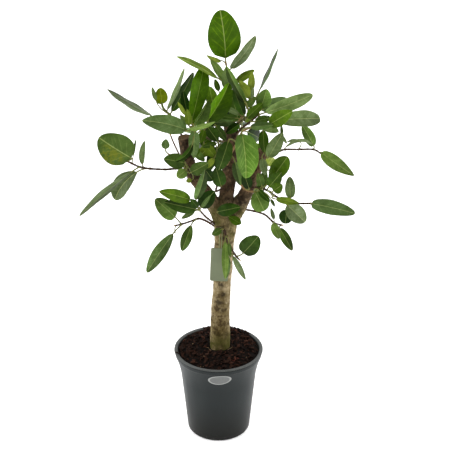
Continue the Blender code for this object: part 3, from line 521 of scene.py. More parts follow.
bed = bmesh.new()
rim = inner_radius(SOIL_EDGE_HEIGHT) - SOIL_GAP
grid = []
for ring in range(SOIL_RINGS + 1):
    out = SOIL_CORE_RADIUS + (rim - SOIL_CORE_RADIUS) * ring / SOIL_RINGS
    spots = [around(out, 360 * turn / SOIL_TURNS) for turn in range(SOIL_TURNS)]
    grid.append([bed.verts.new((right, back, soil_height(right, back))) for right, back in spots])
low = [bed.verts.new((v.co.x * SOIL_TAPER, v.co.y * SOIL_TAPER, SOIL_FOOT)) for v in grid[-1]]
core = [bed.verts.new((v.co.x, v.co.y, SOIL_FOOT)) for v in grid[0]]
rings = [core] + grid + [low]
for inner, outer in zip(rings, rings[1:] + rings[:1]):
    for turn in range(SOIL_TURNS):
        after = (turn + 1) % SOIL_TURNS
        bed.faces.new((inner[turn], outer[turn], outer[after], inner[after]))
add_chips(bed, random.Random(12))
soil = piece("bark_mix", [], [], [peat()])
bed.to_mesh(soil.data)
bed.free()
soil.data.set_sharp_from_angle(angle=math.radians(35))
wear(soil, "soil", "soil")


# Trunk and limbs
# One grown piece of wood: a bare trunk that forks into three limbs, each sawn off and healed. The bark is
# thin, tan-grey and mottled, greenish low down and in the fork and darker on the limbs. Shade is painted on
# it down the trunk's front, in the fork and down the left limb's right side.
WOOD_GRAIN = 0.0021
WOOD_SIDES = 40
WOOD_STEP = 0.006
# The trunk and each limb, as places with the wood's radius there in millimetres
TRUNK = [
    ((4, -495, 0), 29), ((5, -430, 0), 27.5), ((7, -325, 0), 24), ((10, -280, 0), 23.5),
    ((15.5, -165, 0), 26), ((18.5, -130, 0), 28.5), ((20, -100, 0), 27),
]
LEFT_LIMB = [
    ((11, -120, 0), 20), ((-11, -73, -4), 19), ((-40, -30, -8), 16.5), ((-63, 0, -14), 16),
    ((-75, 38, -18), 16), ((-83, 95, -22), 16.5),
]
CENTRE_LIMB = [
    ((18, -115, 0), 24), ((19, -75, 2), 19.5), ((24, -30, 8), 18.5), ((30, 12, 12), 18),
    ((32, 62, 18), 17), ((32, 122, 25), 16.5),
]
RIGHT_LIMB = [
    ((26, -118, 0), 22), ((48, -86, -2), 20.5), ((73, -38, -4), 17), ((95, 12, -6), 14),
    ((110, 50, -8), 12.5), ((113, 64, -9), 12),
]
# Each sawn limb with how deep its end is dished
SAWN_ENDS = [(LEFT_LIMB, 0.0035), (CENTRE_LIMB, 0.003), (RIGHT_LIMB, 0.0025)]
SAWN_EDGE = 0.004
HEALED_RIM = 0.0012
SCAR_DEPTH, SCAR_RIM = 0.0022, 0.0014
# How far the bark's own forms stand out
SWELL, FURROW, GRAIN, WRINKLE = 0.0016, 0.0007, 0.0007, 0.0009
# Scars and dark patches, each a place with its radius in millimetres. The patches are stains, but those down
# the left limb's right side are painted shade.
BARK_SCARS = [((-6, -360, -30), 5.5), ((20, -338, -24), 4.5), ((0, -255, -28), 5), ((32, -215, -24), 4.5),
              ((4, -40, -22), 4.5), ((40, 96, 6), 6.5), ((60, -60, -22), 4), ((-52, -8, -32), 4.5)]
BARK_STAINS_AND_SHADE = [((58, -64, -20), 18), ((46, -82, -22), 13), ((-70, 12, -34), 12), ((-70, 78, -36), 16),
               ((-68, 46, -34), 14), ((-62, 66, -34), 15), ((-72, 92, -38), 12), ((26, -66, -18), 12),
               ((36, -104, -24), 12), ((14, -135, -28), 9), ((16, -160, -26), 8), ((18, -190, -26), 8),
               ((6, -275, -26), 9), ((2, -318, -26), 11), ((14, -300, -26), 8), ((6, -338, -28), 9),
               ((26, -405, -26), 8)]
# Heights in the bark's colours, each as where a change starts and where it is done. In the fork's band shade
# is painted, as well as green film.
LIMBS_DARKEN = (0.61, 0.71)
TRUNK_DARKENS = (0.40, 0.27)
MOSSY_FOOT = (0.32, 0.255)
FORK = ((0.53, 0.61), (0.69, 0.64))


def unit(vector):
    """The same direction, one metre long."""
    return vector / np.linalg.norm(vector)


def smooth_path(points, spacing):
    """A soft curve through the points, with a place each spacing or so. Returns it with each
    place's count along the points."""
    points = np.asarray(points, float)
    ends = np.vstack([2 * points[0] - points[1], points, 2 * points[-1] - points[-2]])
    path, counts = [], []
    for k in range(len(points) - 1):
        a, b, c, d = ends[k:k + 4]
        steps = max(2, round(float(np.linalg.norm(c[:3] - b[:3])) / spacing))
        for step in range(steps + (k == len(points) - 2)):
            t = step / steps
            path.append(0.5 * (2 * b + (c - a) * t + (2 * a - 5 * b + 4 * c - d) * t ** 2
                               + (3 * b - a - 3 * c + d) * t ** 3))
            counts.append(k + t)
    return np.array(path), np.array(counts)


def net(rows, columns, closed=False, flipped=False, first=0):
    """The faces of a net of points in rows, numbered from first. A closed net joins the ends of
    each row, and a flipped one faces the other way."""
    faces = []
    for row in range(first, first + (rows - 1) * columns, columns):
        for column in range(columns if closed else columns - 1):
            here, after = row + column, row + (column + 1) % columns
            face = (here, after, after + columns, here + columns)
            faces.append((here, *face[:0:-1]) if flipped else face)
    return faces


def sweep(path, radii, sides, first=0):
    """A round tube along a path with closed ends, as points and faces numbered from first."""
    points, up = [], np.array((0.0, -1.0, 0.2))
    turns = np.linspace(0, 2 * math.pi, sides, endpoint=False)
    for k, spot in enumerate(path):
        ahead = unit(path[min(k + 1, len(path) - 1)] - path[max(k - 1, 0)])
        up = unit(up - ahead * (up @ ahead))
        flat = np.cross(ahead, up)
        points += [spot + (flat * math.cos(turn) + up * math.sin(turn)) * radii[k] for turn in turns]
    last = first + (len(path) - 1) * sides
    ends = [tuple(range(first + sides - 1, first - 1, -1)), tuple(range(last, last + sides))]
    return points, net(len(path), sides, closed=True, first=first) + ends


def bark():
    """Thin bark: tan and grey mottling, brown stains and scars, green film low and in the fork, and painted
    shade down the trunk's front, in the fork and down the left limb's right side.
    """
    paint = Paint("trunk_bark", 0.8, Specular_IOR_Level=0.10)
    right, back, height = paint.parts(paint.spot())
    patches = paint.noise(34, (1, 1, 0.8), 5, 0.62)
    fine = paint.noise(170, (1, 1, 0.55), 5, 0.65)
    flakes = paint.noise(66, (1, 1, 1.1), 5, 0.72)
    stains_and_shade = paint.step(paint.noise(17, (1, 1, 0.9), 3), 0.40, 0.58)
    base = paint.mix(paint.step(patches, 0.36, 0.66), colour(114, 100, 68), colour(166, 151, 120))
    base = paint.over(base, paint.step(fine, 0.50, 0.66), 0.55, colour(72, 58, 32))
    base = paint.over(base, paint.step(fine, 0.42, 0.30), 0.6, colour(176, 162, 134))
    # Painted shade: a patchy darker strip down the front of the trunk, between its lit sides.
    middle = paint.math("ABSOLUTE", paint.math("SUBTRACT", right, 0.007))
    front = paint.times(paint.step(middle, 0.024, 0.004), paint.step(back, 0.0, -0.014))
    base = paint.tint(paint.times(front, paint.scale(stains_and_shade, 0.6, 1.0)), base, 0.70, 0.66, 0.54)
    blotch = paint.times(paint.step(flakes, 0.44, 0.62), paint.scale(stains_and_shade, 0.35, 0.85))
    blotted = paint.mix(paint.step(fine, 0.4, 0.6), colour(60, 46, 20), colour(50, 34, 18))
    base = paint.mix(blotch, base, blotted)
    brown = paint.mix(paint.step(patches, 0.35, 0.7), colour(36, 25, 15), colour(86, 62, 42))
    brown = paint.over(brown, paint.step(fine, 0.48, 0.62), 0.7, colour(20, 15, 8))
    brown = paint.over(brown, paint.step(fine, 0.42, 0.32), 0.6, colour(126, 98, 70))
    base = paint.over(base, paint.step(height, *LIMBS_DARKEN), 0.9, brown)
    base = paint.tint(paint.step(height, *TRUNK_DARKENS), base, 0.62, 0.60, 0.46)
    fork = paint.band(height, *FORK)
    # Painted shade in the fork, under the crown, with a greenish cast.
    base = paint.tint(fork, base, 0.74, 0.72, 0.58)
    damp = paint.math("MAXIMUM", paint.step(height, *MOSSY_FOOT), fork)
    base = paint.over(base, paint.times(damp, paint.step(patches, 0.66, 0.42)), 0.7, colour(66, 68, 20))
    marks = paint.attribute("wood")
    cut, stain_and_shade, _ = paint.parts(marks[1])
    rings = paint.math("SINE", paint.times(marks[2], 3.2))
    sawn = paint.mix(paint.scale(rings, 0.35, 0.65), colour(88, 68, 44), colour(54, 40, 26))
    base = paint.mix(cut, base, sawn)
    # Dark patches: stains and scars, and painted shade down the left limb's right side.
    base = paint.over(base, stain_and_shade, 0.85, colour(26, 18, 10))
    relief = paint.math("MULTIPLY_ADD", fine, 0.6, paint.times(flakes, 0.4))
    return paint.finish(base, paint.scale(fine, 0.68, 0.9), paint.bump(relief, 0.0008))


def grow_wood():
    """The trunk and limbs, grown together into one body."""
    points, faces = [], []
    for limb in (TRUNK, LEFT_LIMB, CENTRE_LIMB, RIGHT_LIMB):
        line = np.array([[*place(*spot), radius / 1000] for spot, radius in limb])
        line, _ = smooth_path(line, WOOD_STEP)
        new_points, new_faces = sweep(line[:, :3], line[:, 3], WOOD_SIDES, len(points))
        points += new_points
        faces += new_faces
    wood = piece("trunk_and_limbs", points, faces, [])
    remesh = wood.modifiers.new("grown together", "REMESH")
    remesh.mode, remesh.voxel_size = "VOXEL", WOOD_GRAIN
    apply_modifiers(wood)
    return wood


def swells(spot):
    """How far the bark stands out at a spot: broad swells, furrows, grain and rings of wrinkles."""
    here = Vector(spot)
    broad = SWELL * noise.noise(here * 26)
    furrow = FURROW * noise.noise(Vector((here.x, here.y, here.z * 0.4)) * 110)
    grain = GRAIN * noise.fractal(here * 190, 0.8, 2.0, 3)
    wrinkle = max(0, noise.noise(Vector((here.x * 6, here.y * 6, here.z * 62))))
    return broad + furrow + grain + WRINKLE * wrinkle ** 1.5


def carve_wood(wood):
    """Swells and furrows in the bark, hollowed scars and the healed rims of the sawn ends. The mesh carries
    where it is cut, where it is stained and where shade is painted on it, and how far out on a cut a place
    is."""
    mesh = wood.data
    spots = np.empty(len(mesh.vertices) * 3, np.float32)
    mesh.vertices.foreach_get("co", spots)
    spots = spots.reshape(-1, 3).astype(float)
    normals = np.array([v.normal for v in mesh.vertices])
    lift = np.array([swells(spot) for spot in spots])
    cut, stain_and_shade, ring = np.zeros((3, len(spots)))
    for centre, size in BARK_SCARS:
        away = np.linalg.norm(spots - place(*centre), axis=1) / (size / 1000)
        lift += -SCAR_DEPTH * np.exp(-away ** 2) + SCAR_RIM * np.exp(-((away - 1.5) / 0.5) ** 2)
        stain_and_shade = np.maximum(stain_and_shade, np.exp(-(away / 1.1) ** 4))
    ragged = np.array([0.65 + noise.fractal(Vector(spot) * 120, 0.8, 2.0, 3) for spot in spots]).clip(0, 1)
    for centre, size in BARK_STAINS_AND_SHADE:
        away = np.linalg.norm(spots - place(*centre), axis=1) / (size / 1000)
        stain_and_shade = np.maximum(stain_and_shade, np.clip(1.5 * np.exp(-away ** 2) * ragged, 0, 0.95))
    for limb, dish in SAWN_ENDS:
        (before, _), (end, radius) = limb[-2:]
        axis = unit(place(*end) - place(*before))
        along = (spots - place(*end)) @ axis
        out = np.linalg.norm(spots - place(*end) - along[:, None] * axis, axis=1) * 1000 / radius
        flat = np.clip((normals @ axis - 0.6) / 0.25, 0, 1) * (along > -SAWN_EDGE) * (out < 1.3)
        lift -= flat * dish * np.clip(1 - out ** 2, 0, 1)
        lift += HEALED_RIM * np.exp(-(along / SAWN_EDGE) ** 2) * (out > 0.55) * (out < 1.4)
        cut = np.maximum(cut, flat * np.clip((0.86 - out) / 0.12, 0, 1))
        ring = np.where(flat > 0.1, out * radius, ring)
    spots += normals * lift[:, None]
    mesh.vertices.foreach_set("co", spots.astype(np.float32).ravel())
    carried = mesh.attributes.new("wood", "FLOAT_VECTOR", "POINT")
    carried.data.foreach_set("vector", np.stack([cut, stain_and_shade, ring], 1).astype(np.float32).ravel())
    mesh.materials.append(bark())
    mesh.shade_smooth()
    mesh.update()


wood = grow_wood()
carve_wood(wood)
wear(wood, "bark", "trunk")


# Left far shoot
# A leafy shoot is a thin woody twig with its stalks, leathery leaves and pointed bud, grown as one.
# This one reaches to the far left, with a big round leaf at its end and two hanging ones.
TWIG_ROOT_RADIUS = 0.0028
TWIG_TIP_RADIUS = 0.0021
TWIG_SIDES = 12
TWIG_STEP, STALK_STEP = 0.0028, 0.003
LEAF_KNOB, BARE_KNOB = 0.42, 0.2
KNOB_SPACING = 0.43
KNOB_REACH = 0.0026
BUD_LENGTH = 0.009
BUD_RADIUS = 0.0017
STALK_RADIUS = 0.0018
STALK_SIDES = 10
STALK_IN_BLADE = 0.007
BLADE_THICKNESS = 0.0005
BLADE_END_HALF = 0.0003
RIB_HALF = 0.0011
RIB_GROOVE, RIB_GROOVE_HALF = 0.0007, 0.0013
PILLOW_HEIGHT = 0.0009
VEIN_SWEEP = 0.40
# Widths in millimetres: a small blade has a coarser mesh and fewer veins than a broad one
SMALL_BLADE, BROAD_BLADE = 24, 50
# How far out the mesh's columns stand on each half of a blade
SMALL_COLUMNS = (0, 0.12, 0.36, 0.62, 0.86, 1)
BROAD_COLUMNS = (0, 0.06, 0.16, 0.29, 0.43, 0.57, 0.71, 0.84, 0.945, 1)
# Leaf colours, chosen leaf by leaf. Young leaves are yellower, but most of the spread is painted light: the
# dark tones (deep, dark, shade) paint the shade inside the crown, and the grey ones (grey, ash, silver,
# frost, pale) paint the sheen of the light on a blade.
TONES = {
    "deep": colour(22, 46, 6), "dark": colour(36, 62, 10), "shade": colour(42, 64, 19),
    "ivy": colour(48, 74, 8), "forest": colour(52, 74, 23), "leaf": colour(60, 86, 13),
    "green": colour(66, 100, 6), "moss": colour(62, 84, 34), "bright": colour(74, 102, 17),
    "mottled": colour(68, 90, 38), "sage": colour(70, 92, 48), "ash": colour(74, 88, 57),
    "lime": colour(90, 110, 30), "fresh": colour(80, 112, 42), "grey": colour(80, 102, 57),
    "meadow": colour(84, 110, 49), "silver": colour(90, 108, 66), "light": colour(98, 122, 57),
    "pale": colour(106, 128, 74), "frost": colour(106, 122, 86), "young": colour(112, 128, 6),
    "golden": colour(124, 140, 51), "bud": colour(150, 120, 57),
}
TWIGS = {"brown": colour(64, 46, 33), "tan": colour(142, 112, 76), "grey": colour(98, 84, 64)}
STALKS = {"yellow": colour(100, 106, 46), "green": colour(96, 112, 48), "brown": colour(78, 54, 38)}


def leaf_skin():
    """A satin leaf: its green, in which light and shade are painted, with cloudy mottling, a pale midrib,
    side veins that sweep forward, a thin yellowish margin, and a paler matt underside."""
    paint = Paint("ficus_leaf", 0.42, Specular_IOR_Level=0.10, Specular_Tint=colour(225, 235, 190))
    across, along, ribbed = paint.parts(paint.attribute("blade")[1])
    aside, under, veins = paint.parts(paint.attribute("rib")[1])
    tone = paint.attribute("tone")
    edge = paint.math("ABSOLUTE", across)
    cloud = paint.noise(46, detail=4, roughness=0.6)
    fine = paint.noise(420, roughness=0.6)
    specks = paint.step(paint.noise(240, detail=2), 0.66, 0.74)
    blotches = paint.step(paint.noise(90, detail=4, roughness=0.7), 0.40, 0.54)
    # The tone carries each blade's painted light and shade.
    base = paint.tint(1.0, tone[0], 1.20, 1.17, 1.14)
    base = paint.tint(paint.step(cloud, 0.65, 0.35), base, 0.62, 0.66, 0.54)
    base = paint.tint(paint.step(fine, 0.35, 0.7), base, 0.80, 0.84, 0.74)
    base = paint.over(base, specks, 0.12, colour(124, 122, 58))
    base = paint.over(base, paint.times(blotches, tone[3]), 0.8, colour(98, 106, 26))
    near = paint.math("DIVIDE", paint.math("PINGPONG", paint.times(along, veins), 0.5), veins)
    shown = paint.times(paint.step(edge, 0.98, 0.55), paint.step(along, 0.02, 0.1))
    shown = paint.times(paint.times(shown, paint.step(veins, 4.4, 7.2)), ribbed)
    line = paint.times(paint.step(near, paint.scale(ribbed, 0.006, 0.020), 0.002), shown)
    halo = paint.times(paint.step(near, 0.045, 0.0), shown)
    base = paint.tint(halo, base, 1.20, 1.15, 1.25)
    base = paint.tint(line, base, 2.3, 1.8, 2.6)
    base = paint.over(base, paint.step(edge, 0.955, 0.995), 0.3, paint.tint(1.0, base, 2.4, 1.9, 2.2))
    pale = paint.tint(1.0, base, 2.2, 1.8, 2.4)
    pale = paint.mix(paint.scale(ribbed, 0.1, 0.9), pale, colour(168, 178, 104))
    rib = paint.step(paint.math("ABSOLUTE", aside), 0.95, 0.3)
    base = paint.over(base, rib, paint.scale(paint.step(veins, 4.6, 7.2), 0.32, 0.9), pale)
    base = paint.mix(under, base, paint.mix(0.62, base, colour(112, 130, 88)))
    rough = paint.math("ADD", paint.scale(cloud, 0.34, 0.48), paint.times(under, 0.2))
    relief = paint.math("ADD", paint.times(fine, 0.3), paint.times(line, -0.7))
    return paint.finish(base, rough, paint.bump(relief, 0.00022))


def twig_bark():
    """A twig's thin bark: brown, tan or grey, darker in patches and with pale specks."""
    paint = Paint("twig_bark", 0.75, Specular_IOR_Level=0.12)
    tone = paint.attribute("tone")[0]
    fine = paint.noise(520, detail=4, roughness=0.65)
    base = paint.mix(paint.step(paint.noise(120), 0.35, 0.65), paint.mix(0.4, tone, colour(34, 24, 16)), tone)
    base = paint.over(base, paint.step(fine, 0.55, 0.75), 0.55, colour(150, 126, 92))
    return paint.finish(base, paint.scale(fine, 0.62, 0.85), paint.bump(fine, 0.0004))


def stalk_skin():
    """A stalk's smooth skin in its own colour, browner in patches. The buds have it too."""
    paint = Paint("leaf_stalk", 0.5, Specular_IOR_Level=0.2)
    cloud = paint.noise(160)
    base = paint.over(paint.attribute("tone")[0], paint.step(cloud, 0.4, 0.7), 0.4, colour(104, 84, 44))
    return paint.finish(base, paint.scale(cloud, 0.42, 0.58), paint.bump(paint.noise(700), 0.0001))


SHOOT_SKINS = [leaf_skin(), twig_bark(), stalk_skin()]
BLADE, TWIG, STALK = 0, 1, 2


class Leaf:
    """One leaf on its stalk. Its blade runs from base to tip, bowed, folded and rolled.

    node is the place on the twig where the stalk leaves it, counted in the twig's points. width is in
    millimetres. tone names the blade's colour in the palette, where many tones also paint the sheen and shade
    it shows, and stalk names its stalk's colour. roll turns the blade about its length and fold raises its
    two halves, in degrees. arch and sway bow the blade out of its plane and sideways, as shares of its
    length. widest is the share of the length where it is widest, and a smaller blunt makes both its ends
    rounder. wave is the height of the waves along its margins as a share of its half width, and veins counts
    its pairs of side veins. patch is the share of yellow blotches on its left half. lit paints light on its
    right half and shade on its left, and fade paints its tip lighter than its base. ribbed says how pale its
    veins are and stout how thick its stalk is.
    """

    def __init__(self, node, base, tip, width, tone, roll=0, fold=8, arch=0.06, sway=0.0, widest=0.44,
                 blunt=0.6, wave=0.05, veins=0, stalk="yellow", patch=0.0, lit=0.0, fade=0.0, ribbed=0.4,
                 stout=1.0):
        self.node, self.base, self.tip, self.width = node, base, tip, width
        self.tone, self.stalk, self.stout = tone, stalk, stout
        self.roll, self.fold, self.arch, self.sway = roll, fold, arch, sway
        self.widest, self.blunt, self.wave = widest, blunt, wave
        self.patch, self.lit, self.fade, self.ribbed = patch, lit, fade, ribbed
        self.veins = veins or (7 if width > BROAD_BLADE else 6 if width > SMALL_BLADE else 5)


def turn_to(vector):
    """Each row of directions, one metre long."""
    return vector / np.linalg.norm(vector, axis=-1, keepdims=True)


def blade_frame(leaf, share):
    """Places on the blade's midrib, with the ways ahead, up out of the blade and across it."""
    base, tip = place(*leaf.base), place(*leaf.tip)
    run = tip - base
    length = np.linalg.norm(run)
    heading = run / length
    facing = unit(TOWARD - heading * (TOWARD @ heading))
    side = np.cross(heading, facing)
    share = np.asarray(share, float)[..., None]
    roll = math.radians(leaf.roll)
    up = facing * math.cos(roll) + side * math.sin(roll)
    bow = (up * leaf.arch + np.cross(heading, up) * leaf.sway) * length * 4
    spot = base + run * share + bow * share * (1 - share)
    ahead = turn_to(run + bow * (1 - 2 * share))
    up = turn_to(up - ahead * (ahead @ up)[..., None])
    return spot, ahead, up, np.cross(ahead, up)


def half_width(leaf, share):
    """Half the blade's width at a share of its length: an oval, fuller toward its widest place."""
    swell = math.log(0.5) / math.log(leaf.widest)
    oval = np.sin(math.pi * np.clip(share, 0, 1) ** swell).clip(0) ** leaf.blunt
    return np.maximum(leaf.width / 2000 * oval, BLADE_END_HALF)


def blade_rows(leaf):
    """The places of the mesh's corners on a blade: each row follows a side vein outward."""
    if leaf.width > SMALL_BLADE:
        rows, outward = leaf.veins * 4 + 6, BROAD_COLUMNS
    else:
        rows, outward = leaf.veins * 3 + 4, SMALL_COLUMNS
    step = np.linspace(0, 1, rows)
    along = 0.5 * step + 0.5 * (1 - np.cos(math.pi * step)) / 2
    across = np.array([-out for out in outward[:0:-1]] + list(outward))
    along, across = np.meshgrid(along, across, indexing="ij")
    lead = (1.3 * np.abs(across) - 0.3 * across ** 2) * VEIN_SWEEP * leaf.width / 60
    share = along + lead * np.sin(math.pi * along) ** 0.8 * (1 - along) * 1.4
    return along, across, np.clip(share, 0, 1)


def blade_faces(rows, columns):
    """The faces of a blade's upper skin, of its underside and of the thin margin between them."""
    count = rows * columns
    edge = [*range(columns), *range(2 * columns - 1, count, columns),
            *range(count - 2, count - columns - 1, -1), *range(count - 2 * columns, 0, -columns)]
    margin = [(here, here + count, after + count, after) for here, after in zip(edge, edge[1:] + edge[:1])]
    return net(rows, columns) + net(rows, columns, flipped=True, first=count) + margin


def blade_tones(leaf, across, share, chance):
    """The blade's colour from place to place, with light and shade painted across its halves and along its
    length. Its fourth part says where the yellow blotches are.
    """
    tone = np.array(TONES[leaf.tone], float)
    tone[:3] *= chance.uniform(0.97, 1.03)
    tones = np.tile(tone, (*across.shape, 1))
    # Painted light and shade: one half of the blade lighter and the other darker, and the tip lighter than
    # the base.
    shade = (1 + leaf.lit * np.clip(across * 8, -1, 1)) * (1 + leaf.fade * (2 * share - 1))
    tones[..., :3] *= shade[..., None]
    middle = np.clip((share - 0.1) / 0.15, 0, 1) * np.clip((0.85 - share) / 0.15, 0, 1)
    tones[..., 3] = leaf.patch * np.clip(-across * 8, 0, 1) * middle
    return tones


def blade(leaf, chance):
    """A leaf's blade: two skins with a thin margin, waved, quilted between its veins and ribbed.
    Returns its points and faces, then the colour, the place and the rib's place of each point."""
    along, across, share = blade_rows(leaf)
    spot, _, up, flat = blade_frame(leaf, share)
    half = half_width(leaf, share)
    slope = math.radians(leaf.fold)
    edge = np.abs(across)
    phase, beat = chance.uniform(0, 6.28), chance.uniform(1.6, 2.7)
    wave = leaf.wave * half * edge ** 2 * np.sin(2 * math.pi * beat * share + phase + across * 1.1)
    sag = 0.10 * half * edge ** 3
    big = min(1.0, leaf.width / 45)
    quilt = 0.5 - 0.5 * np.cos(2 * math.pi * along * leaf.veins)
    pillow = quilt * edge * (1 - edge ** 2) * PILLOW_HEIGHT * big ** 2
    groove = -RIB_GROOVE * big * np.exp(-(across * half / RIB_GROOVE_HALF) ** 2)
    lift = half * math.sin(slope) * edge ** 1.2 + wave - sag + pillow + groove
    top = spot + flat * (across * half * math.cos(slope))[..., None] + up * lift[..., None]
    rib = RIB_HALF * (1.15 - 0.9 * share) * min(1.0, 0.35 + leaf.width / 60)
    keel = rib * np.exp(-(across * half / (rib * 1.1)) ** 2)
    thick = BLADE_THICKNESS * (1 - 0.45 * edge ** 4) + keel
    bottom = top - up * thick[..., None]
    points = np.concatenate([top.reshape(-1, 3), bottom.reshape(-1, 3)])
    tones = blade_tones(leaf, across, share, chance)
    places = np.stack([across, along, np.full_like(along, leaf.ribbed)], -1)
    aside = across * half * 1000 / (0.4 + leaf.width / 60)
    ribs = [np.stack([aside, np.full_like(along, under), np.full_like(along, leaf.veins)], -1)
            for under in (0, 1)]
    return ((list(points), blade_faces(*along.shape)), np.tile(tones.reshape(-1, 4), (2, 1)),
            np.tile(places.reshape(-1, 3), (2, 1)), np.concatenate(ribs).reshape(-1, 3))


def along_path(path, counts, node):
    """The place on a twig at a count of its points."""
    k = int(np.clip(np.searchsorted(counts, node), 1, len(counts) - 1))
    t = np.clip((node - counts[k - 1]) / (counts[k] - counts[k - 1]), 0, 1)
    return path[k - 1] + (path[k] - path[k - 1]) * t


def twig_radii(path, counts, leaves):
    """The twig's radii: tapered and uneven, with a knob at each leaf and smaller ones between."""
    bare = [k * KNOB_SPACING + 0.3 for k in range(int(counts[-1] / KNOB_SPACING))]
    knobs = np.zeros(len(path))
    for nodes, height in (([leaf.node for leaf in leaves], LEAF_KNOB), (bare, BARE_KNOB)):
        for node in nodes:
            away = np.linalg.norm(path - along_path(path, counts, node), axis=1)
            knobs = np.maximum(knobs, height * np.exp(-(away / KNOB_REACH) ** 2))
    uneven = np.array([1 + 0.1 * noise.noise(Vector(spot) * 180) for spot in path])
    return np.interp(counts, [0, counts[-1]], [TWIG_ROOT_RADIUS, TWIG_TIP_RADIUS]) * (1 + knobs) * uneven


def bud_tube(path):
    """The pointed bud at a twig's end, turned a little up and forward."""
    ahead = unit(unit(path[-1] - path[-3]) + np.array((0.0, -0.1, 0.25)))
    steps = np.linspace(0, 1, 9)
    line = [path[-1] + ahead * (BUD_LENGTH * step - 0.001) for step in steps]
    swell = 1 + 0.5 * np.sin(math.pi * steps)
    return sweep(line, BUD_RADIUS * swell * (1 - steps ** 2.2) + 0.00015, STALK_SIDES)


def stalk_tube(leaf, start):
    """A leaf's stalk, in a bend from its start on the twig to the blade and a little way into it."""
    spot, ahead, _, _ = blade_frame(leaf, 0.0)
    inside = min(0.12, STALK_IN_BLADE / np.linalg.norm(place(*leaf.tip) - spot))
    reach = np.linalg.norm(spot - start)
    straight = (spot - start) @ ahead / reach
    bend = spot - ahead * reach * (0.32 + 0.16 * straight)
    steps = np.linspace(0, 1, max(4, round(reach / STALK_STEP)))[:, None]
    line = start * (1 - steps) ** 2 + bend * 2 * steps * (1 - steps) + spot * steps ** 2
    line = np.vstack([line, blade_frame(leaf, inside)[0]])
    slim = min(1.0, 0.62 + leaf.width / 90) * leaf.stout
    sizes = STALK_RADIUS * slim * (1 + 0.35 * np.exp(-np.linspace(0, 6, len(line))))
    sizes[-1] *= 0.45
    return sweep(line, sizes, STALK_SIDES)


def grow_shoot(name, twig, leaves, wood="brown"):
    """A leafy shoot as one piece: its knobbly twig and bud, its stalks and its blades."""
    chance = random.Random(name)
    path, counts = smooth_path([place(*spot) for spot in twig], TWIG_STEP)
    points, faces, which = [], [], []
    carried = {"tone": [], "blade": [], "rib": []}

    def add(part, kind, *values):
        """Add a part's points and faces, in one of the skins, with what its points carry."""
        new_points, new_faces = part
        faces.extend(tuple(corner + len(points) for corner in face) for face in new_faces)
        points.extend(new_points)
        which.extend([kind] * len(new_faces))
        for kept, value in zip(carried.values(), values):
            kept.append(np.broadcast_to(value, (len(new_points), np.shape(value)[-1])))

    no_blade = np.zeros(3)
    add(sweep(path, twig_radii(path, counts, leaves), TWIG_SIDES), TWIG, TWIGS[wood], no_blade, no_blade)
    add(bud_tube(path), STALK, TONES["bud"], no_blade, no_blade)
    for leaf in leaves:
        stalk = stalk_tube(leaf, along_path(path, counts, leaf.node))
        add(stalk, STALK, STALKS[leaf.stalk], no_blade, no_blade)
        part, tones, places, ribs = blade(leaf, chance)
        add(part, BLADE, tones, places, ribs)
    made = piece(name, points, faces, SHOOT_SKINS, which)
    for label, kind, field in (("blade", "FLOAT_VECTOR", "vector"), ("rib", "FLOAT_VECTOR", "vector"),
                               ("tone", "FLOAT_COLOR", "color")):
        layer = made.data.attributes.new(label, kind, "POINT")
        layer.data.foreach_set(field, np.concatenate(carried[label]).astype(np.float32).ravel())
    wear(made, "leaves", "shoot_" + name.removesuffix("_leaves"))


grow_shoot("left_far_leaves", [
    (-75, 12, -14), (-102, 16, -46), (-132, 14, -65), (-170, 16, -84), (-195, 20, -97), (-215, 29, -108),
    (-228, 35, -116)
], [
    Leaf(6, (-216, 42, -122), (-298, 94, -151), 77, "mottled", roll=-12, fold=6, blunt=0.5, patch=1.0,
         wave=0.03),
    Leaf(3, (-202, 8, -68), (-258, -62, -59), 52, "ash", roll=20, fold=18, sway=0.06, widest=0.56,
         fade=0.1),
    Leaf(4, (-216, 8, -130), (-347, -103, -200.5), 42, "ash", roll=60, fold=10, arch=0.02, widest=0.5,
         wave=0.03, lit=0.3),
    Leaf(5, (-212, 48, -116), (-205, 90, -119), 6, "shade"),
    Leaf(3.6, (-189, 26, -94), (-183, 86, -100), 15, "silver", sway=-0.05),
])


# Left shoots
# The left limb's other shoots: two crowded ones at its sawn end, and three lower down. Each is a
# thin brown twig with leathery leaves, grown on to the limb where the saw made it sprout again.

# The twig at the left limb's cut end: a long blade seen on its edge and three upright ones.
grow_shoot("left_upper_leaves", [
    (-84, 84, -20), (-97, 112, 19), (-108, 135, 40), (-120, 151, 57)
], [
    Leaf(3, (-140, 177, 54), (-145, 218, 51), 33, "young", roll=10, blunt=0.5, stalk="green", stout=1.6),
    Leaf(3, (-167, 148, 46), (-277, 215, 14), 40, "ash", roll=-68, arch=0.02, lit=-0.2, fade=-0.5),
    Leaf(3, (-127, 163, 57), (-84, 268, 94), 28, "silver", roll=-56, arch=-0.03, lit=-0.2, fade=0.1),
    Leaf(3, (-116, 158, 68), (-61, 257, 108), 36, "dark", roll=48, arch=0.03, lit=0.3, fade=-0.5),
    Leaf(3, (-155, 186, 40), (-165, 220, 38), 11, "pale"),
])
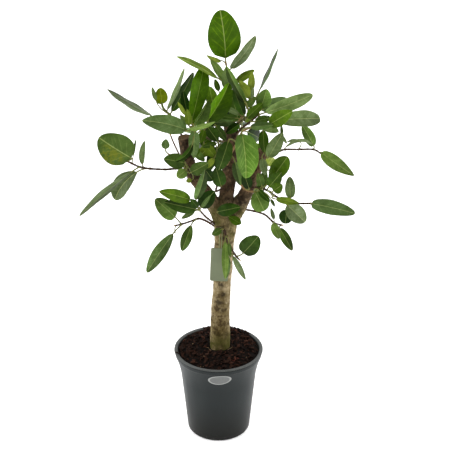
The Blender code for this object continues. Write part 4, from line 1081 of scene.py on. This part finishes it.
# The crowded twig in front of the left limb's top, with the widest leaves of the left side.
grow_shoot("left_crown_leaves", [
    (-77, 58, -20), (-70, 82, -49), (-65, 105, -62), (-62, 122, -68)
], [
    Leaf(2.5, (-78, 112, -81), (-190, 136, -135), 44, "grey", roll=-15, sway=0.05, lit=0.1, fade=-0.1),
    Leaf(3, (-66, 134, -62), (-36, 270, 14), 45, "green", roll=14, fold=16, widest=0.56, blunt=0.5,
         lit=-0.2, fade=0.3),
    Leaf(3, (-76, 148, -46), (-88, 210, -27), 22, "deep", lit=0.2, fade=-0.2),
    Leaf(3, (-82, 150, -84), (-100, 182, -89), 10, "golden"),
    Leaf(3, (-72, 124, -89), (-77, 165, -89), 17, "lime"),
    Leaf(3, (-76, 126, -76), (-95, 150, -72), 13, "pale"),
    Leaf(3, (-60, 125, -97), (-24, 188, -100), 40, "mottled", roll=42, fold=44, fade=-0.4),
    Leaf(2.5, (-74, 111, -116), (-8, 133, -151), 20, "light", roll=62, arch=0.02, lit=0.1),
    Leaf(2.5, (-58, 110, -92), (-60, 42, -81), 27, "grey", roll=10, widest=0.35, fade=-0.1),
    Leaf(1, (-50, 72, -68), (-57, 45, -70), 15, "leaf"),
    Leaf(1, (-62, 62, -57), (-33, 35, -60), 19, "meadow"),
    Leaf(2.5, (-64, 78, -108), (-110, 34, -127), 15, "shade", sway=-0.15, lit=0.5, fade=0.5),
])
# A thin forward twig of small leaves round the left limb's middle.
grow_shoot("left_front_leaves", [
    (-76, 36, -18), (-92, 42, -62), (-108, 46, -78), (-120, 50, -84)
], [
    Leaf(1, (-82, 30, -70), (-136, 40, -103), 38, "forest", roll=8, lit=0.1),
    Leaf(3, (-132, 65, -86), (-130, 90, -89), 20, "sage"),
    Leaf(1, (-80, 12, -68), (-102, -6, -76), 26, "light", blunt=0.5),
    Leaf(1, (-66, -12, -65), (-80, -16, -68), 12, "golden"),
    Leaf(1, (-68, 6, -70), (-24, 30, -84), 32, "mottled", roll=10, lit=-0.1, fade=0.2),
    Leaf(1, (-118, 98, -62), (-121, 106, -62), 4, "bud", stalk="brown", stout=1.6),
])
# A short twig out of the fork, to the left and forward.
grow_shoot("left_mid_leaves", [
    (-8, -122, -6), (-30, -105, -54), (-45, -89, -65)
], [
    Leaf(2, (-68, -62, -86), (-147, -41, -130), 32, "bright", roll=10, lit=0.1, fade=-0.1),
    Leaf(2, (-54, -86, -73), (-134, -68, -105), 33, "shade", lit=-0.3, fade=-0.2),
    Leaf(2, (-58, -90, -70), (-92, -109, -81), 13, "silver"),
    Leaf(2, (-55, -62, -81), (-32, 14, -113), 28, "sage", roll=30, lit=-0.5, fade=-0.5),
    Leaf(2, (-45, -80, -73), (-8, -40, -84), 38, "deep", lit=-0.1, fade=0.3),
    Leaf(2, (-42, -82, -89), (-18, -50, -100), 11, "grey"),
    Leaf(2, (-50, -82, -94), (-68, -60, -103), 18, "dark"),
])
# The low, bare twig to the left, with two leaves that hang.
grow_shoot("left_low_leaves", [
    (-2, -132, 0), (-24, -118, 22), (-36, -112, 32), (-50, -109, 40), (-70, -116, 49), (-88, -122, 57),
    (-105, -126, 62)
], [
    Leaf(5.2, (-106, -106, 54), (-157, -60, 27), 46, "meadow", roll=10, blunt=0.5, lit=-0.1, fade=-0.4),
    Leaf(3, (-67, -125, 27), (-90, -190, 14), 28, "moss", widest=0.5, lit=-0.2, fade=-0.1),
    Leaf(5, (-112, -146, 46), (-178, -244, 8), 37, "grey", roll=10, widest=0.5, lit=0.3),
    Leaf(6, (-108, -140, 57), (-107, -146, 57), 4, "bud"),
])


# Front shoots
# Two short shoots on the front of the fork. One droops, with narrow young leaves, and holds the
# label's loop, and the other is a stub with two broad leaves across the bark.

# The twig that droops in front of the fork and carries the label.
grow_shoot("front_hanging_leaves", [
    (-4, -128, -12), (15, -138, -44), (20, -152, -52), (32, -180, -58), (42, -198, -62), (52, -210, -64)
], [
    Leaf(4.4, (62, -196, -70), (101, -153, -86), 50, "shade", roll=5, blunt=0.5, fade=0.3),
    Leaf(2, (18, -165, -70), (18, -260, -88), 18, "light", lit=-0.1),
    Leaf(4, (25, -202, -60), (20, -258, -62), 18, "grey"),
    Leaf(4, (37, -202, -66), (69, -262, -80), 16, "frost", lit=0.1, fade=-0.1),
    Leaf(2, (27, -168, -78), (31, -206, -82), 10, "moss"),
    Leaf(1, (8, -135, -50), (-15, -150, -54), 19, "moss"),
])
# A stub on the fork's front with two leaves that lie across it.
grow_shoot("trunk_front_leaves", [
    (4, -96, -6), (2, -94, -36)
], [
    Leaf(1, (-2, -92, -40), (56, -80, -64), 32, "dark", fade=0.3),
    Leaf(1, (25, -103, -46), (58, -122, -60), 22, "leaf", widest=0.6),
])


# Centre shoots
# Shoots on the side and front of the centre limb: leathery leaves on tan and grey twigs, the
# largest of them a light one that hangs forward and a folded one that stands up.

# A small twig low on the centre limb.
grow_shoot("centre_low_leaves", [
    (22, -35, 8), (8, -36, -22), (-5, -40, -35), (-2, -26, -43), (2, -14, -49)
], [
    Leaf(3, (8, -28, -46), (-5, 19, -59), 34, "dark", blunt=0.5, lit=0.1, fade=-0.5),
    Leaf(4, (-12, -14, -51), (-32, 14, -68), 28, "deep"),
])
# The twig between the left and centre limbs, with a big folded leaf on top.
grow_shoot("centre_left_leaves", [
    (30, 82, 20), (5, 85, -11), (-12, 88, -24), (-30, 95, -32), (-30, 118, -40), (-25, 134, -49)
], [
    Leaf(5, (-27, 134, -57), (28, 230, -40), 60, "green", roll=36, fold=32, lit=-0.5, fade=0.1),
    Leaf(4, (-24, 126, -14), (28, 160, 14), 32, "deep"),
    Leaf(3, (-26, 120, -46), (0, 84, -62), 27, "shade", lit=-0.2, fade=-0.3),
    Leaf(2, (-6, 124, -40), (20, 86, -40), 20, "moss", fade=-0.5),
    Leaf(3, (-32, 74, -59), (-6, 44, -68), 24, "lime"),
    Leaf(2, (-10, 42, -73), (-28, 18, -81), 15, "golden"),
    Leaf(2, (-3, 80, -54), (-40, 70, -62), 14, "forest"),
    Leaf(5, (-10, 166, -14), (-22, 222, 19), 30, "bright", fade=0.5),
    Leaf(4, (-34, 114, -50), (-44, 80, -56), 20, "leaf"),
    Leaf(2, (-10, 78, -34), (-50, 44, -44), 30, "lime", roll=12),
    Leaf(1, (6, 76, -22), (-3, 14, -34), 26, "moss"),
    Leaf(1.4, (2, 70, -30), (-28, 30, -52), 24, "shade"),
    Leaf(2, (-16, 100, -14), (-42, 74, -14), 26, "ivy"),
    Leaf(1.2, (-4, 60, -8), (-28, 6, -12), 24, "moss"),
], "grey")
# The twig in front of the centre limb, with the big light leaf that hangs forward.
grow_shoot("centre_front_leaves", [
    (22, 18, 12), (28, 40, -19), (38, 65, -38), (48, 80, -46), (60, 108, -54), (80, 118, -62)
], [
    Leaf(5, (60, 104, -97), (70, -8, -146), 68, "fresh", roll=-28, fold=25, blunt=0.5, ribbed=0.6, lit=-0.2,
         fade=0.3),
    Leaf(5, (80, 120, -81), (138, 125, -94), 20, "sage", lit=0.3, fade=0.1),
    Leaf(3, (26, 85, -70), (2, 12, -76), 38, "shade", roll=-10, lit=-0.1, fade=0.2),
    Leaf(1.4, (42, 34, -42), (56, -26, -46), 24, "grey", lit=-0.5, fade=0.2),
], "tan")
# A tan twig between the centre and right limbs.
grow_shoot("centre_right_low_leaves", [
    (36, 16, 14), (50, -8, -24), (58, -25, -40), (72, -38, -49), (90, -42, -57)
], [
    Leaf(4, (92, -42, -65), (116, -90, -76), 47, "meadow", widest=0.55, blunt=0.5, lit=0.1, fade=0.2),
    Leaf(4, (102, -38, -89), (130, -67, -103), 16, "dark"),
    Leaf(4, (132, -60, -113), (142, -79, -119), 8, "shade"),
    Leaf(2.6, (78, -34, -62), (64, 6, -73), 27, "deep", lit=0.2, fade=0.5),
], "tan")


# Top shoots
# Two tall shoots from the centre limb's sawn end, with the big upright leaf that tops the tree,
# narrow blades seen on edge and small yellow-green young leaves.

# The tallest twig, with the big upright leaf that tops the tree.
grow_shoot("top_leaves", [
    (36, 116, 26), (62, 148, 40), (55, 165, 40), (42, 188, 40), (30, 225, 43), (20, 278, 46)
], [
    Leaf(5, (19, 291, 46), (5, 413, 27), 80, "green", fold=5, sway=0.02, blunt=0.5, veins=6, ribbed=1.0,
         fade=-0.1),
    Leaf(5, (8, 286, 40), (-28, 300, 35), 15, "golden", roll=30, sway=-0.18),
    Leaf(4.4, (15, 238, 27), (-19, 288, 19), 22, "light", roll=20, lit=0.1, fade=-0.2),
    Leaf(4.8, (32, 265, 40), (94, 348, 27), 36, "frost", roll=50, blunt=0.5, fade=-0.1),
    Leaf(4, (0, 242, 8), (-104, 296, -27), 34, "lime", roll=54, arch=0.04, lit=-0.1, fade=0.2),
    Leaf(4.2, (16, 218, 14), (20, 270, 14), 18, "pale"),
    Leaf(3.8, (2, 210, 14), (-8, 240, 8), 14, "leaf"),
], "tan")
# The twig right of the centre limb's top, full of young and edge-on leaves.
grow_shoot("centre_right_leaves", [
    (40, 112, 24), (58, 134, 3), (70, 143, -8), (80, 165, -5), (80, 190, 0)
], [
    Leaf(2, (68, 182, -32), (20, 274, -40), 36, "mottled", roll=-60, arch=0.03, lit=0.5, fade=0.5),
    Leaf(4, (44, 232, 35), (91, 263, 46), 20, "lime", lit=0.1, fade=0.5),
    Leaf(4, (82, 208, -8), (85, 258, -8), 18, "golden"),
    Leaf(4, (80, 192, -16), (54, 236, -8), 24, "golden", lit=0.2, fade=-0.2),
    Leaf(4, (85, 190, -24), (88, 220, -24), 9, "frost"),
    Leaf(3, (72, 170, -19), (94, 196, -22), 18, "light"),
    Leaf(3, (104, 212, 19), (150, 316, 40), 34, "shade", roll=74, arch=0, sway=0.03, lit=0.5),
    Leaf(3, (107, 166, -28), (122, 215, -20), 38, "meadow", roll=10, lit=0.3, fade=0.4),
    Leaf(2, (72, 142, -30), (112, 180, -40), 24, "leaf", lit=-0.2, fade=0.2),
    Leaf(1, (44, 134, -10), (-12, 130, -22), 24, "grey", lit=0.3, fade=-0.5),
    Leaf(2, (66, 148, -16), (38, 218, -24), 24, "dark", roll=-14, lit=-0.5, fade=-0.5),
    Leaf(1.5, (54, 128, -20), (20, 104, -30), 22, "dark", lit=-0.5, fade=-0.5),
    Leaf(2, (56, 150, -14), (6, 172, -22), 15, "silver", roll=20),
    Leaf(1.6, (48, 142, -24), (-6, 148, -34), 13, "forest"),
    Leaf(3, (70, 172, 14), (46, 210, 20), 22, "leaf"),
    Leaf(1, (62, 138, 16), (90, 142, 34), 18, "lime"),
])


# Right shoots
# The right limb's shoots, from its crown down to a low twig that leans back. Their brown twigs
# are longer and barer, and carry level leaves near their ends.

# The twig that holds the right crown's level leaves.
grow_shoot("right_crown_leaves", [
    (40, 100, 22), (66, 122, 0), (84, 136, -22), (100, 150, -32)
], [
    Leaf(3, (118, 156, -54), (237, 201, -103), 34, "pale", roll=20, widest=0.55, blunt=0.45, fade=-0.2),
    Leaf(3, (140, 136, -19), (256, 141, 27), 43, "silver", roll=-10, widest=0.6, blunt=0.4, lit=-0.2,
         fade=-0.3),
    Leaf(3, (128, 126, -81), (186, 160, -108), 36, "bright", widest=0.42, fade=0.4),
    Leaf(3, (108, 162, -14), (172, 192, 27), 30, "sage"),
    Leaf(2, (92, 134, -54), (134, 144, -62), 20, "forest"),
    Leaf(2, (104, 128, -34), (152, 108, -44), 24, "pale"),
])
# A short twig at the right limb's top.
grow_shoot("right_mid_leaves", [
    (108, 44, -8), (118, 56, -35), (128, 68, -46)
], [
    Leaf(1, (126, 44, -57), (162, 106, -84), 34, "silver", fade=-0.3),
    Leaf(2, (160, 96, -59), (158, 128, -62), 8, "shade"),
    Leaf(2, (160, 98, -76), (172, 78, -81), 8, "silver"),
    Leaf(1, (112, 112, -49), (116, 56, -54), 25, "ivy", lit=-0.2),
    Leaf(1, (110, 42, -46), (118, 0, -57), 20, "frost"),
])
# The long twig to the upper right, leaning back, with one drooping leaf.
grow_shoot("right_upper_leaves", [
    (103, 32, -6), (130, 50, 27), (155, 60, 46), (168, 64, 54), (202, 64, 70), (238, 64, 84), (256, 55, 89)
], [
    Leaf(6, (257, 57, 86), (340.8, -2, 54), 36, "light", roll=15, widest=0.38, blunt=0.7, wave=0.02,
         fade=-0.5),
    Leaf(5, (240, 72, 81), (211, 124, 89), 30, "meadow", roll=10, blunt=0.5, lit=0.3, fade=-0.1),
    Leaf(3, (168, 69, 49), (236, 76, 68), 10, "frost", roll=30, sway=-0.24),
    Leaf(4, (206, 82, 76), (172, 82, 68), 9, "frost", sway=0.12),
])
# The long twig to the right, coming forward, with the most leaves.
grow_shoot("right_lower_leaves", [
    (78, -32, -6), (105, -32, -40), (130, -42, -54), (142, -52, -62), (162, -62, -76), (180, -70, -84),
    (205, -71, -94), (232, -71, -105)
], [
    Leaf(7, (232, -71, -108), (343, -96, -162), 37, "sage", roll=-10, blunt=0.5, fade=-0.1),
    Leaf(5, (181, -58, -76), (179, -4, -76), 26, "silver", blunt=0.5, fade=-0.2),
    Leaf(3, (145, -60, -113), (202, -70, -130), 18, "lime", lit=-0.1, fade=-0.3),
    Leaf(5, (172, -74, -103), (218, -118, -130), 43, "frost", widest=0.5, blunt=0.5, lit=-0.2),
    Leaf(5, (172, -86, -78), (168, -122, -81), 36, "deep", blunt=0.5),
    Leaf(1, (128, -18, -68), (174, 46, -94), 43, "leaf", widest=0.62, blunt=0.5, lit=0.2),
    Leaf(2, (127, -30, -89), (158, 6, -113), 34, "ivy", fade=-0.3),
    Leaf(3, (138, -40, -103), (161, -24, -113), 28, "leaf"),
    Leaf(1, (110, -28, -81), (100, 5, -89), 20, "mottled"),
    Leaf(0.8, (106, -40, -40), (119, 14, -38), 24, "mottled"),
])
# The lowest twig on the right, leaning back.
grow_shoot("right_low_leaves", [
    (48, -84, 4), (85, -89, 35), (115, -98, 46), (130, -110, 51), (140, -119, 54), (158, -125, 59)
], [
    Leaf(4, (140, -111, 51), (132, -82, 40), 11, "ash"),
    Leaf(4, (137, -120, 43), (153, -160, 32), 24, "light", lit=0.1, fade=-0.5),
    Leaf(5, (154, -132, 57), (186, -189, 49), 26, "forest", lit=0.2, fade=-0.5),
])


# Back shoots
# Four shoots that fill the tree's far side, grown as the front ones are. The photograph hides
# them, but for the leaves that show through the gaps in the crown.

# A twig behind the fork.
grow_shoot("back_low_leaves", [
    (14, -60, 8), (14, -54, 62), (18, -46, 108), (22, -36, 140)
], [
    Leaf(2, (4, -66, 130), (-42, -66, 190), 40, "moss"),
    Leaf(3, (24, -24, 162), (24, 54, 256), 44, "sage", roll=30),
    Leaf(3, (38, -66, 157), (72, -62, 202), 40, "leaf"),
    Leaf(1, (14, -76, 94), (22, -118, 130), 36, "moss"),
])
# A twig behind the left limb.
grow_shoot("back_left_leaves", [
    (-82, 78, -16), (-76, 84, 32), (-66, 92, 70), (-56, 100, 105)
], [
    Leaf(3, (-44, 112, 130), (-20, 126, 216), 40, "dark", roll=-30),
    Leaf(3, (-62, 104, 124), (-74, 118, 230), 42, "fresh", roll=20),
    Leaf(2, (-52, 80, 100), (-44, 60, 189), 38, "deep"),
    Leaf(3, (-56, 122, 116), (-58, 190, 157), 42, "leaf"),
])
# A twig behind the centre limb.
grow_shoot("back_centre_leaves", [
    (32, 70, 20), (40, 84, 70), (46, 96, 113), (54, 110, 157)
], [
    Leaf(3, (60, 124, 184), (60, 130, 297), 44, "deep", roll=10),
    Leaf(3, (74, 108, 162), (104, 92, 216), 42, "deep", lit=0.5, fade=-0.5),
    Leaf(2, (34, 84, 135), (12, 60, 216), 42, "deep"),
    Leaf(2, (60, 80, 124), (76, 46, 162), 40, "leaf"),
    Leaf(3, (52, 132, 162), (36, 196, 176), 44, "forest"),
], "grey")
# A twig behind the right limb.
grow_shoot("back_right_leaves", [
    (90, 4, -4), (98, 10, 32), (108, 12, 73), (120, 12, 111)
], [
    Leaf(3, (130, 10, 130), (154, -8, 176), 40, "moss"),
    Leaf(3, (124, 24, 135), (138, 44, 189), 40, "golden"),
    Leaf(2, (104, -6, 103), (96, -52, 148), 38, "mottled"),
    Leaf(2, (100, 30, 94), (98, 80, 130), 38, "leaf"),
])


# Hanging label
# A plain plastic card, pale sage green and a little bowed, hung from the front twig by a thin loop
# of cord. One end of the cord is stuck to the card's front and the other to its back.
LABEL_WIDTH = 0.047
LABEL_HEIGHT = 0.094
LABEL_THICKNESS = 0.0006
LABEL_CORNER = 0.003
LABEL_LEAN = math.radians(2.3)
LABEL_BOW = 0.0012
LABEL_RIPPLE = 0.0006
LABEL_TOP = place(5.5, -182.5, -33)
LABEL_ROWS, LABEL_COLUMNS = 40, 21
LOOP_RADIUS = 0.0006
LOOP_CLEARANCE = 0.0002
LOOP_HALF_SPAN = 0.003
LOOP_STEP = 0.0015
LOOP_DROP = 0.012
LOOP_HOLD = np.array((0, 0.0008, 0))
HUNG_FROM = [(-4, -128, -12), (15, -138, -44)]


def card_plastic():
    """Pale sage card with a faint sheen, a little soiled toward its lower end."""
    paint = Paint("label_card", 0.5, Specular_IOR_Level=0.4)
    cloud = paint.noise(28, detail=4)
    fine = paint.noise(600, detail=2)
    low = paint.step(paint.parts(paint.spot())[2], 0.54, 0.46)
    base = paint.mix(cloud, colour(98, 107, 78), colour(116, 123, 94))
    base = paint.over(base, low, 0.3, colour(84, 90, 64))
    base = paint.over(base, fine, 0.12, colour(80, 86, 64))
    return paint.finish(base, paint.scale(cloud, 0.42, 0.55), paint.bump(fine, 0.00004))


def cord_fibre():
    """Thin pale green plastic cord."""
    paint = Paint("label_loop", 0.5)
    return paint.finish(paint.mix(paint.noise(500), colour(110, 124, 78), colour(140, 150, 102)))


downward = np.array((-math.sin(LABEL_LEAN), 0.0, -math.cos(LABEL_LEAN)))
rightward = np.array((math.cos(LABEL_LEAN), 0.0, -math.sin(LABEL_LEAN)))
points = []
for row in range(LABEL_ROWS):
    down = LABEL_HEIGHT * row / (LABEL_ROWS - 1)
    inset = LABEL_CORNER - min(down, LABEL_HEIGHT - down, LABEL_CORNER)
    half = LABEL_WIDTH / 2 - LABEL_CORNER + math.sqrt(max(LABEL_CORNER ** 2 - inset ** 2, 0))
    for column in range(LABEL_COLUMNS):
        across = half * (2 * column / (LABEL_COLUMNS - 1) - 1)
        bow = LABEL_BOW * ((across / LABEL_WIDTH * 2) ** 2 - 0.5) + LABEL_RIPPLE * math.sin(down * 40)
        points.append(LABEL_TOP + downward * down + rightward * across + np.array((0, bow, 0)))
label = piece("hanging_label", points, net(LABEL_ROWS, LABEL_COLUMNS, flipped=True), [card_plastic()])
skin = label.modifiers.new("card", "SOLIDIFY")
skin.thickness, skin.offset = LABEL_THICKNESS, 0
apply_modifiers(label)
wear(label, "label", "label")

twig = [place(*spot) for spot in HUNG_FROM]
hang = twig[0] + (twig[1] - twig[0]) * 0.6
ahead = unit(twig[1] - twig[0])
aside = unit(np.cross(ahead, (0.0, 0.0, 1.0)))
over = np.cross(aside, ahead)
if aside @ rightward < 0:
    aside = -aside
reach = TWIG_ROOT_RADIUS + LOOP_RADIUS + LOOP_CLEARANCE
left, right = hang - aside * reach, hang + aside * reach
left_over, right_over = (hang + aside * reach * way + over * reach * 0.95 for way in (-0.6, 0.6))
left_top, right_top = (LABEL_TOP + rightward * way * LOOP_HALF_SPAN for way in (-1, 1))
hanging = np.array((0, 0, LOOP_DROP))
line = [left_top + downward * 0.004 - LOOP_HOLD, left_top - downward * 0.003, left - hanging, left,
        left_over, right_over, right, right - hanging,
        right_top - downward * 0.003, right_top + downward * 0.004 + LOOP_HOLD]
line, _ = smooth_path(line, LOOP_STEP)
loop_points, loop_faces = sweep(line, [LOOP_RADIUS] * len(line), 8)
loop = piece("label_loop", loop_points, loop_faces, [cord_fibre()])
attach(loop, "root")


# Sticker
# An oval foil sticker on the pot's wall under the lip: satin silver with a raised border, stuck on
# a little askew and left bare.
STICKER_WIDTH = 0.060
STICKER_HEIGHT = 0.032
STICKER_THICKNESS = 0.0005
STICKER_STAND_OFF = 0.0002
STICKER_RIGHT, STICKER_UP = 0.0035, 0.2115
STICKER_TILT = math.radians(4.0)
STICKER_TURNS = 72
# The rings of its mesh, each as how far out it is and how high it stands above the wall
STICKER_RINGS = [(0.0, 0.6), (0.3, 0.6), (0.6, 0.6), (0.82, 0.6), (0.86, 0.75), (0.90, 1.0), (0.935, 1.0),
                 (0.97, 0.8), (1.0, 0.6), (1.0, 0.0)]
BORDER = (0.84, 0.99)


def foil():
    """Satin silver foil, cloudy, with a faint upright brush and a paler border."""
    paint = Paint("silver_foil", 0.4, Metallic=0.35)
    cloud = paint.noise(70, detail=4)
    brush = paint.noise(240, (1, 1, 0.08))
    base = paint.mix(cloud, colour(84, 86, 85), colour(112, 114, 112))
    base = paint.over(base, brush, 0.3, colour(66, 68, 66))
    base = paint.mix(paint.attribute("border")[2], base, colour(140, 142, 139))
    return paint.finish(base, paint.scale(cloud, 0.32, 0.5), paint.bump(brush, 0.00006))


points = []
for ring, height in STICKER_RINGS:
    for turn in range(STICKER_TURNS):
        right, up = around(ring / 2, 360 * turn / STICKER_TURNS)
        right, up = right * STICKER_WIDTH, up * STICKER_HEIGHT
        along = STICKER_RIGHT + right * math.cos(STICKER_TILT) - up * math.sin(STICKER_TILT)
        tall = STICKER_UP + right * math.sin(STICKER_TILT) + up * math.cos(STICKER_TILT)
        radius = outer_radius(tall) + STICKER_STAND_OFF + STICKER_THICKNESS * height
        angle = along / wall_radius(STICKER_UP)
        points.append((radius * math.sin(angle), -radius * math.cos(angle), tall))
faces = net(len(STICKER_RINGS), STICKER_TURNS, closed=True, flipped=True)
faces.append(tuple(range(len(points) - 1, len(points) - STICKER_TURNS - 1, -1)))
sticker = piece("oval_sticker", points, faces, [foil()], sharp=60)
border = sticker.data.attributes.new("border", "FLOAT", "POINT")
on_border = [float(BORDER[0] < ring < BORDER[1]) for ring, _ in STICKER_RINGS for _ in range(STICKER_TURNS)]
border.data.foreach_set("value", on_border)
wear(sticker, "sticker", "sticker")


# Floor and light
# A plain white studio floor that glows a little, as on a light table, and soft light from both
# sides, from above and from behind. Little light comes from the front.
FLOOR_RADIUS = 30.0
FLOOR_SIDES = 96
FLOOR_GLOW = 0.30
# Each as the way to it, its strength and its width in degrees
SUNS = [((-1.0, -0.10, 0.60), 2.4, 60), ((1.0, -0.05, 0.55), 2.0, 60), ((0.1, 0.25, 1.0), 1.5, 90)]
STUDIO_FRONT, STUDIO_BACK = 0.12, 0.75


def floor_paint():
    """Matt white paper."""
    paint = Paint("white_paper", 0.9, Specular_IOR_Level=0.2, Emission_Color=(1, 1, 1, 1),
                  Emission_Strength=FLOOR_GLOW)
    return paint.finish(paint.mix(paint.noise(3.0), colour(250, 250, 250), colour(247, 247, 247)))


edge = [(*around(FLOOR_RADIUS, 360 * side / FLOOR_SIDES), 0) for side in range(FLOOR_SIDES)]
floor = piece("floor", edge, [tuple(range(FLOOR_SIDES))], [floor_paint()])
for number, (direction, strength, width) in enumerate(SUNS):
    lamp = bpy.data.lights.new(f"soft light {number + 1}", "SUN")
    lamp.energy, lamp.angle = strength, math.radians(width)
    hung = bpy.data.objects.new(lamp.name, lamp)
    hung.rotation_euler = Vector(direction).to_track_quat("Z", "Y").to_euler()
    bpy.context.scene.collection.objects.link(hung)
world = bpy.data.worlds.new("studio")
world.use_nodes = True
tree = world.node_tree
toward = tree.nodes.new("ShaderNodeSeparateXYZ")
tree.links.new(tree.nodes.new("ShaderNodeTexCoord").outputs["Generated"], toward.inputs[0])
bright = tree.nodes.new("ShaderNodeMapRange")
tree.links.new(toward.outputs["Y"], bright.inputs["Value"])
for socket, value in (("From Min", -0.9), ("From Max", 0.4),
                      ("To Min", STUDIO_FRONT), ("To Max", STUDIO_BACK)):
    bright.inputs[socket].default_value = value
tree.links.new(bright.outputs[0], tree.nodes["Background"].inputs["Strength"])
tree.nodes["Background"].inputs["Color"].default_value = (1.0, 1.0, 1.0, 1.0)
bpy.context.scene.world = world
bpy.context.scene.view_settings.view_transform = "Standard"
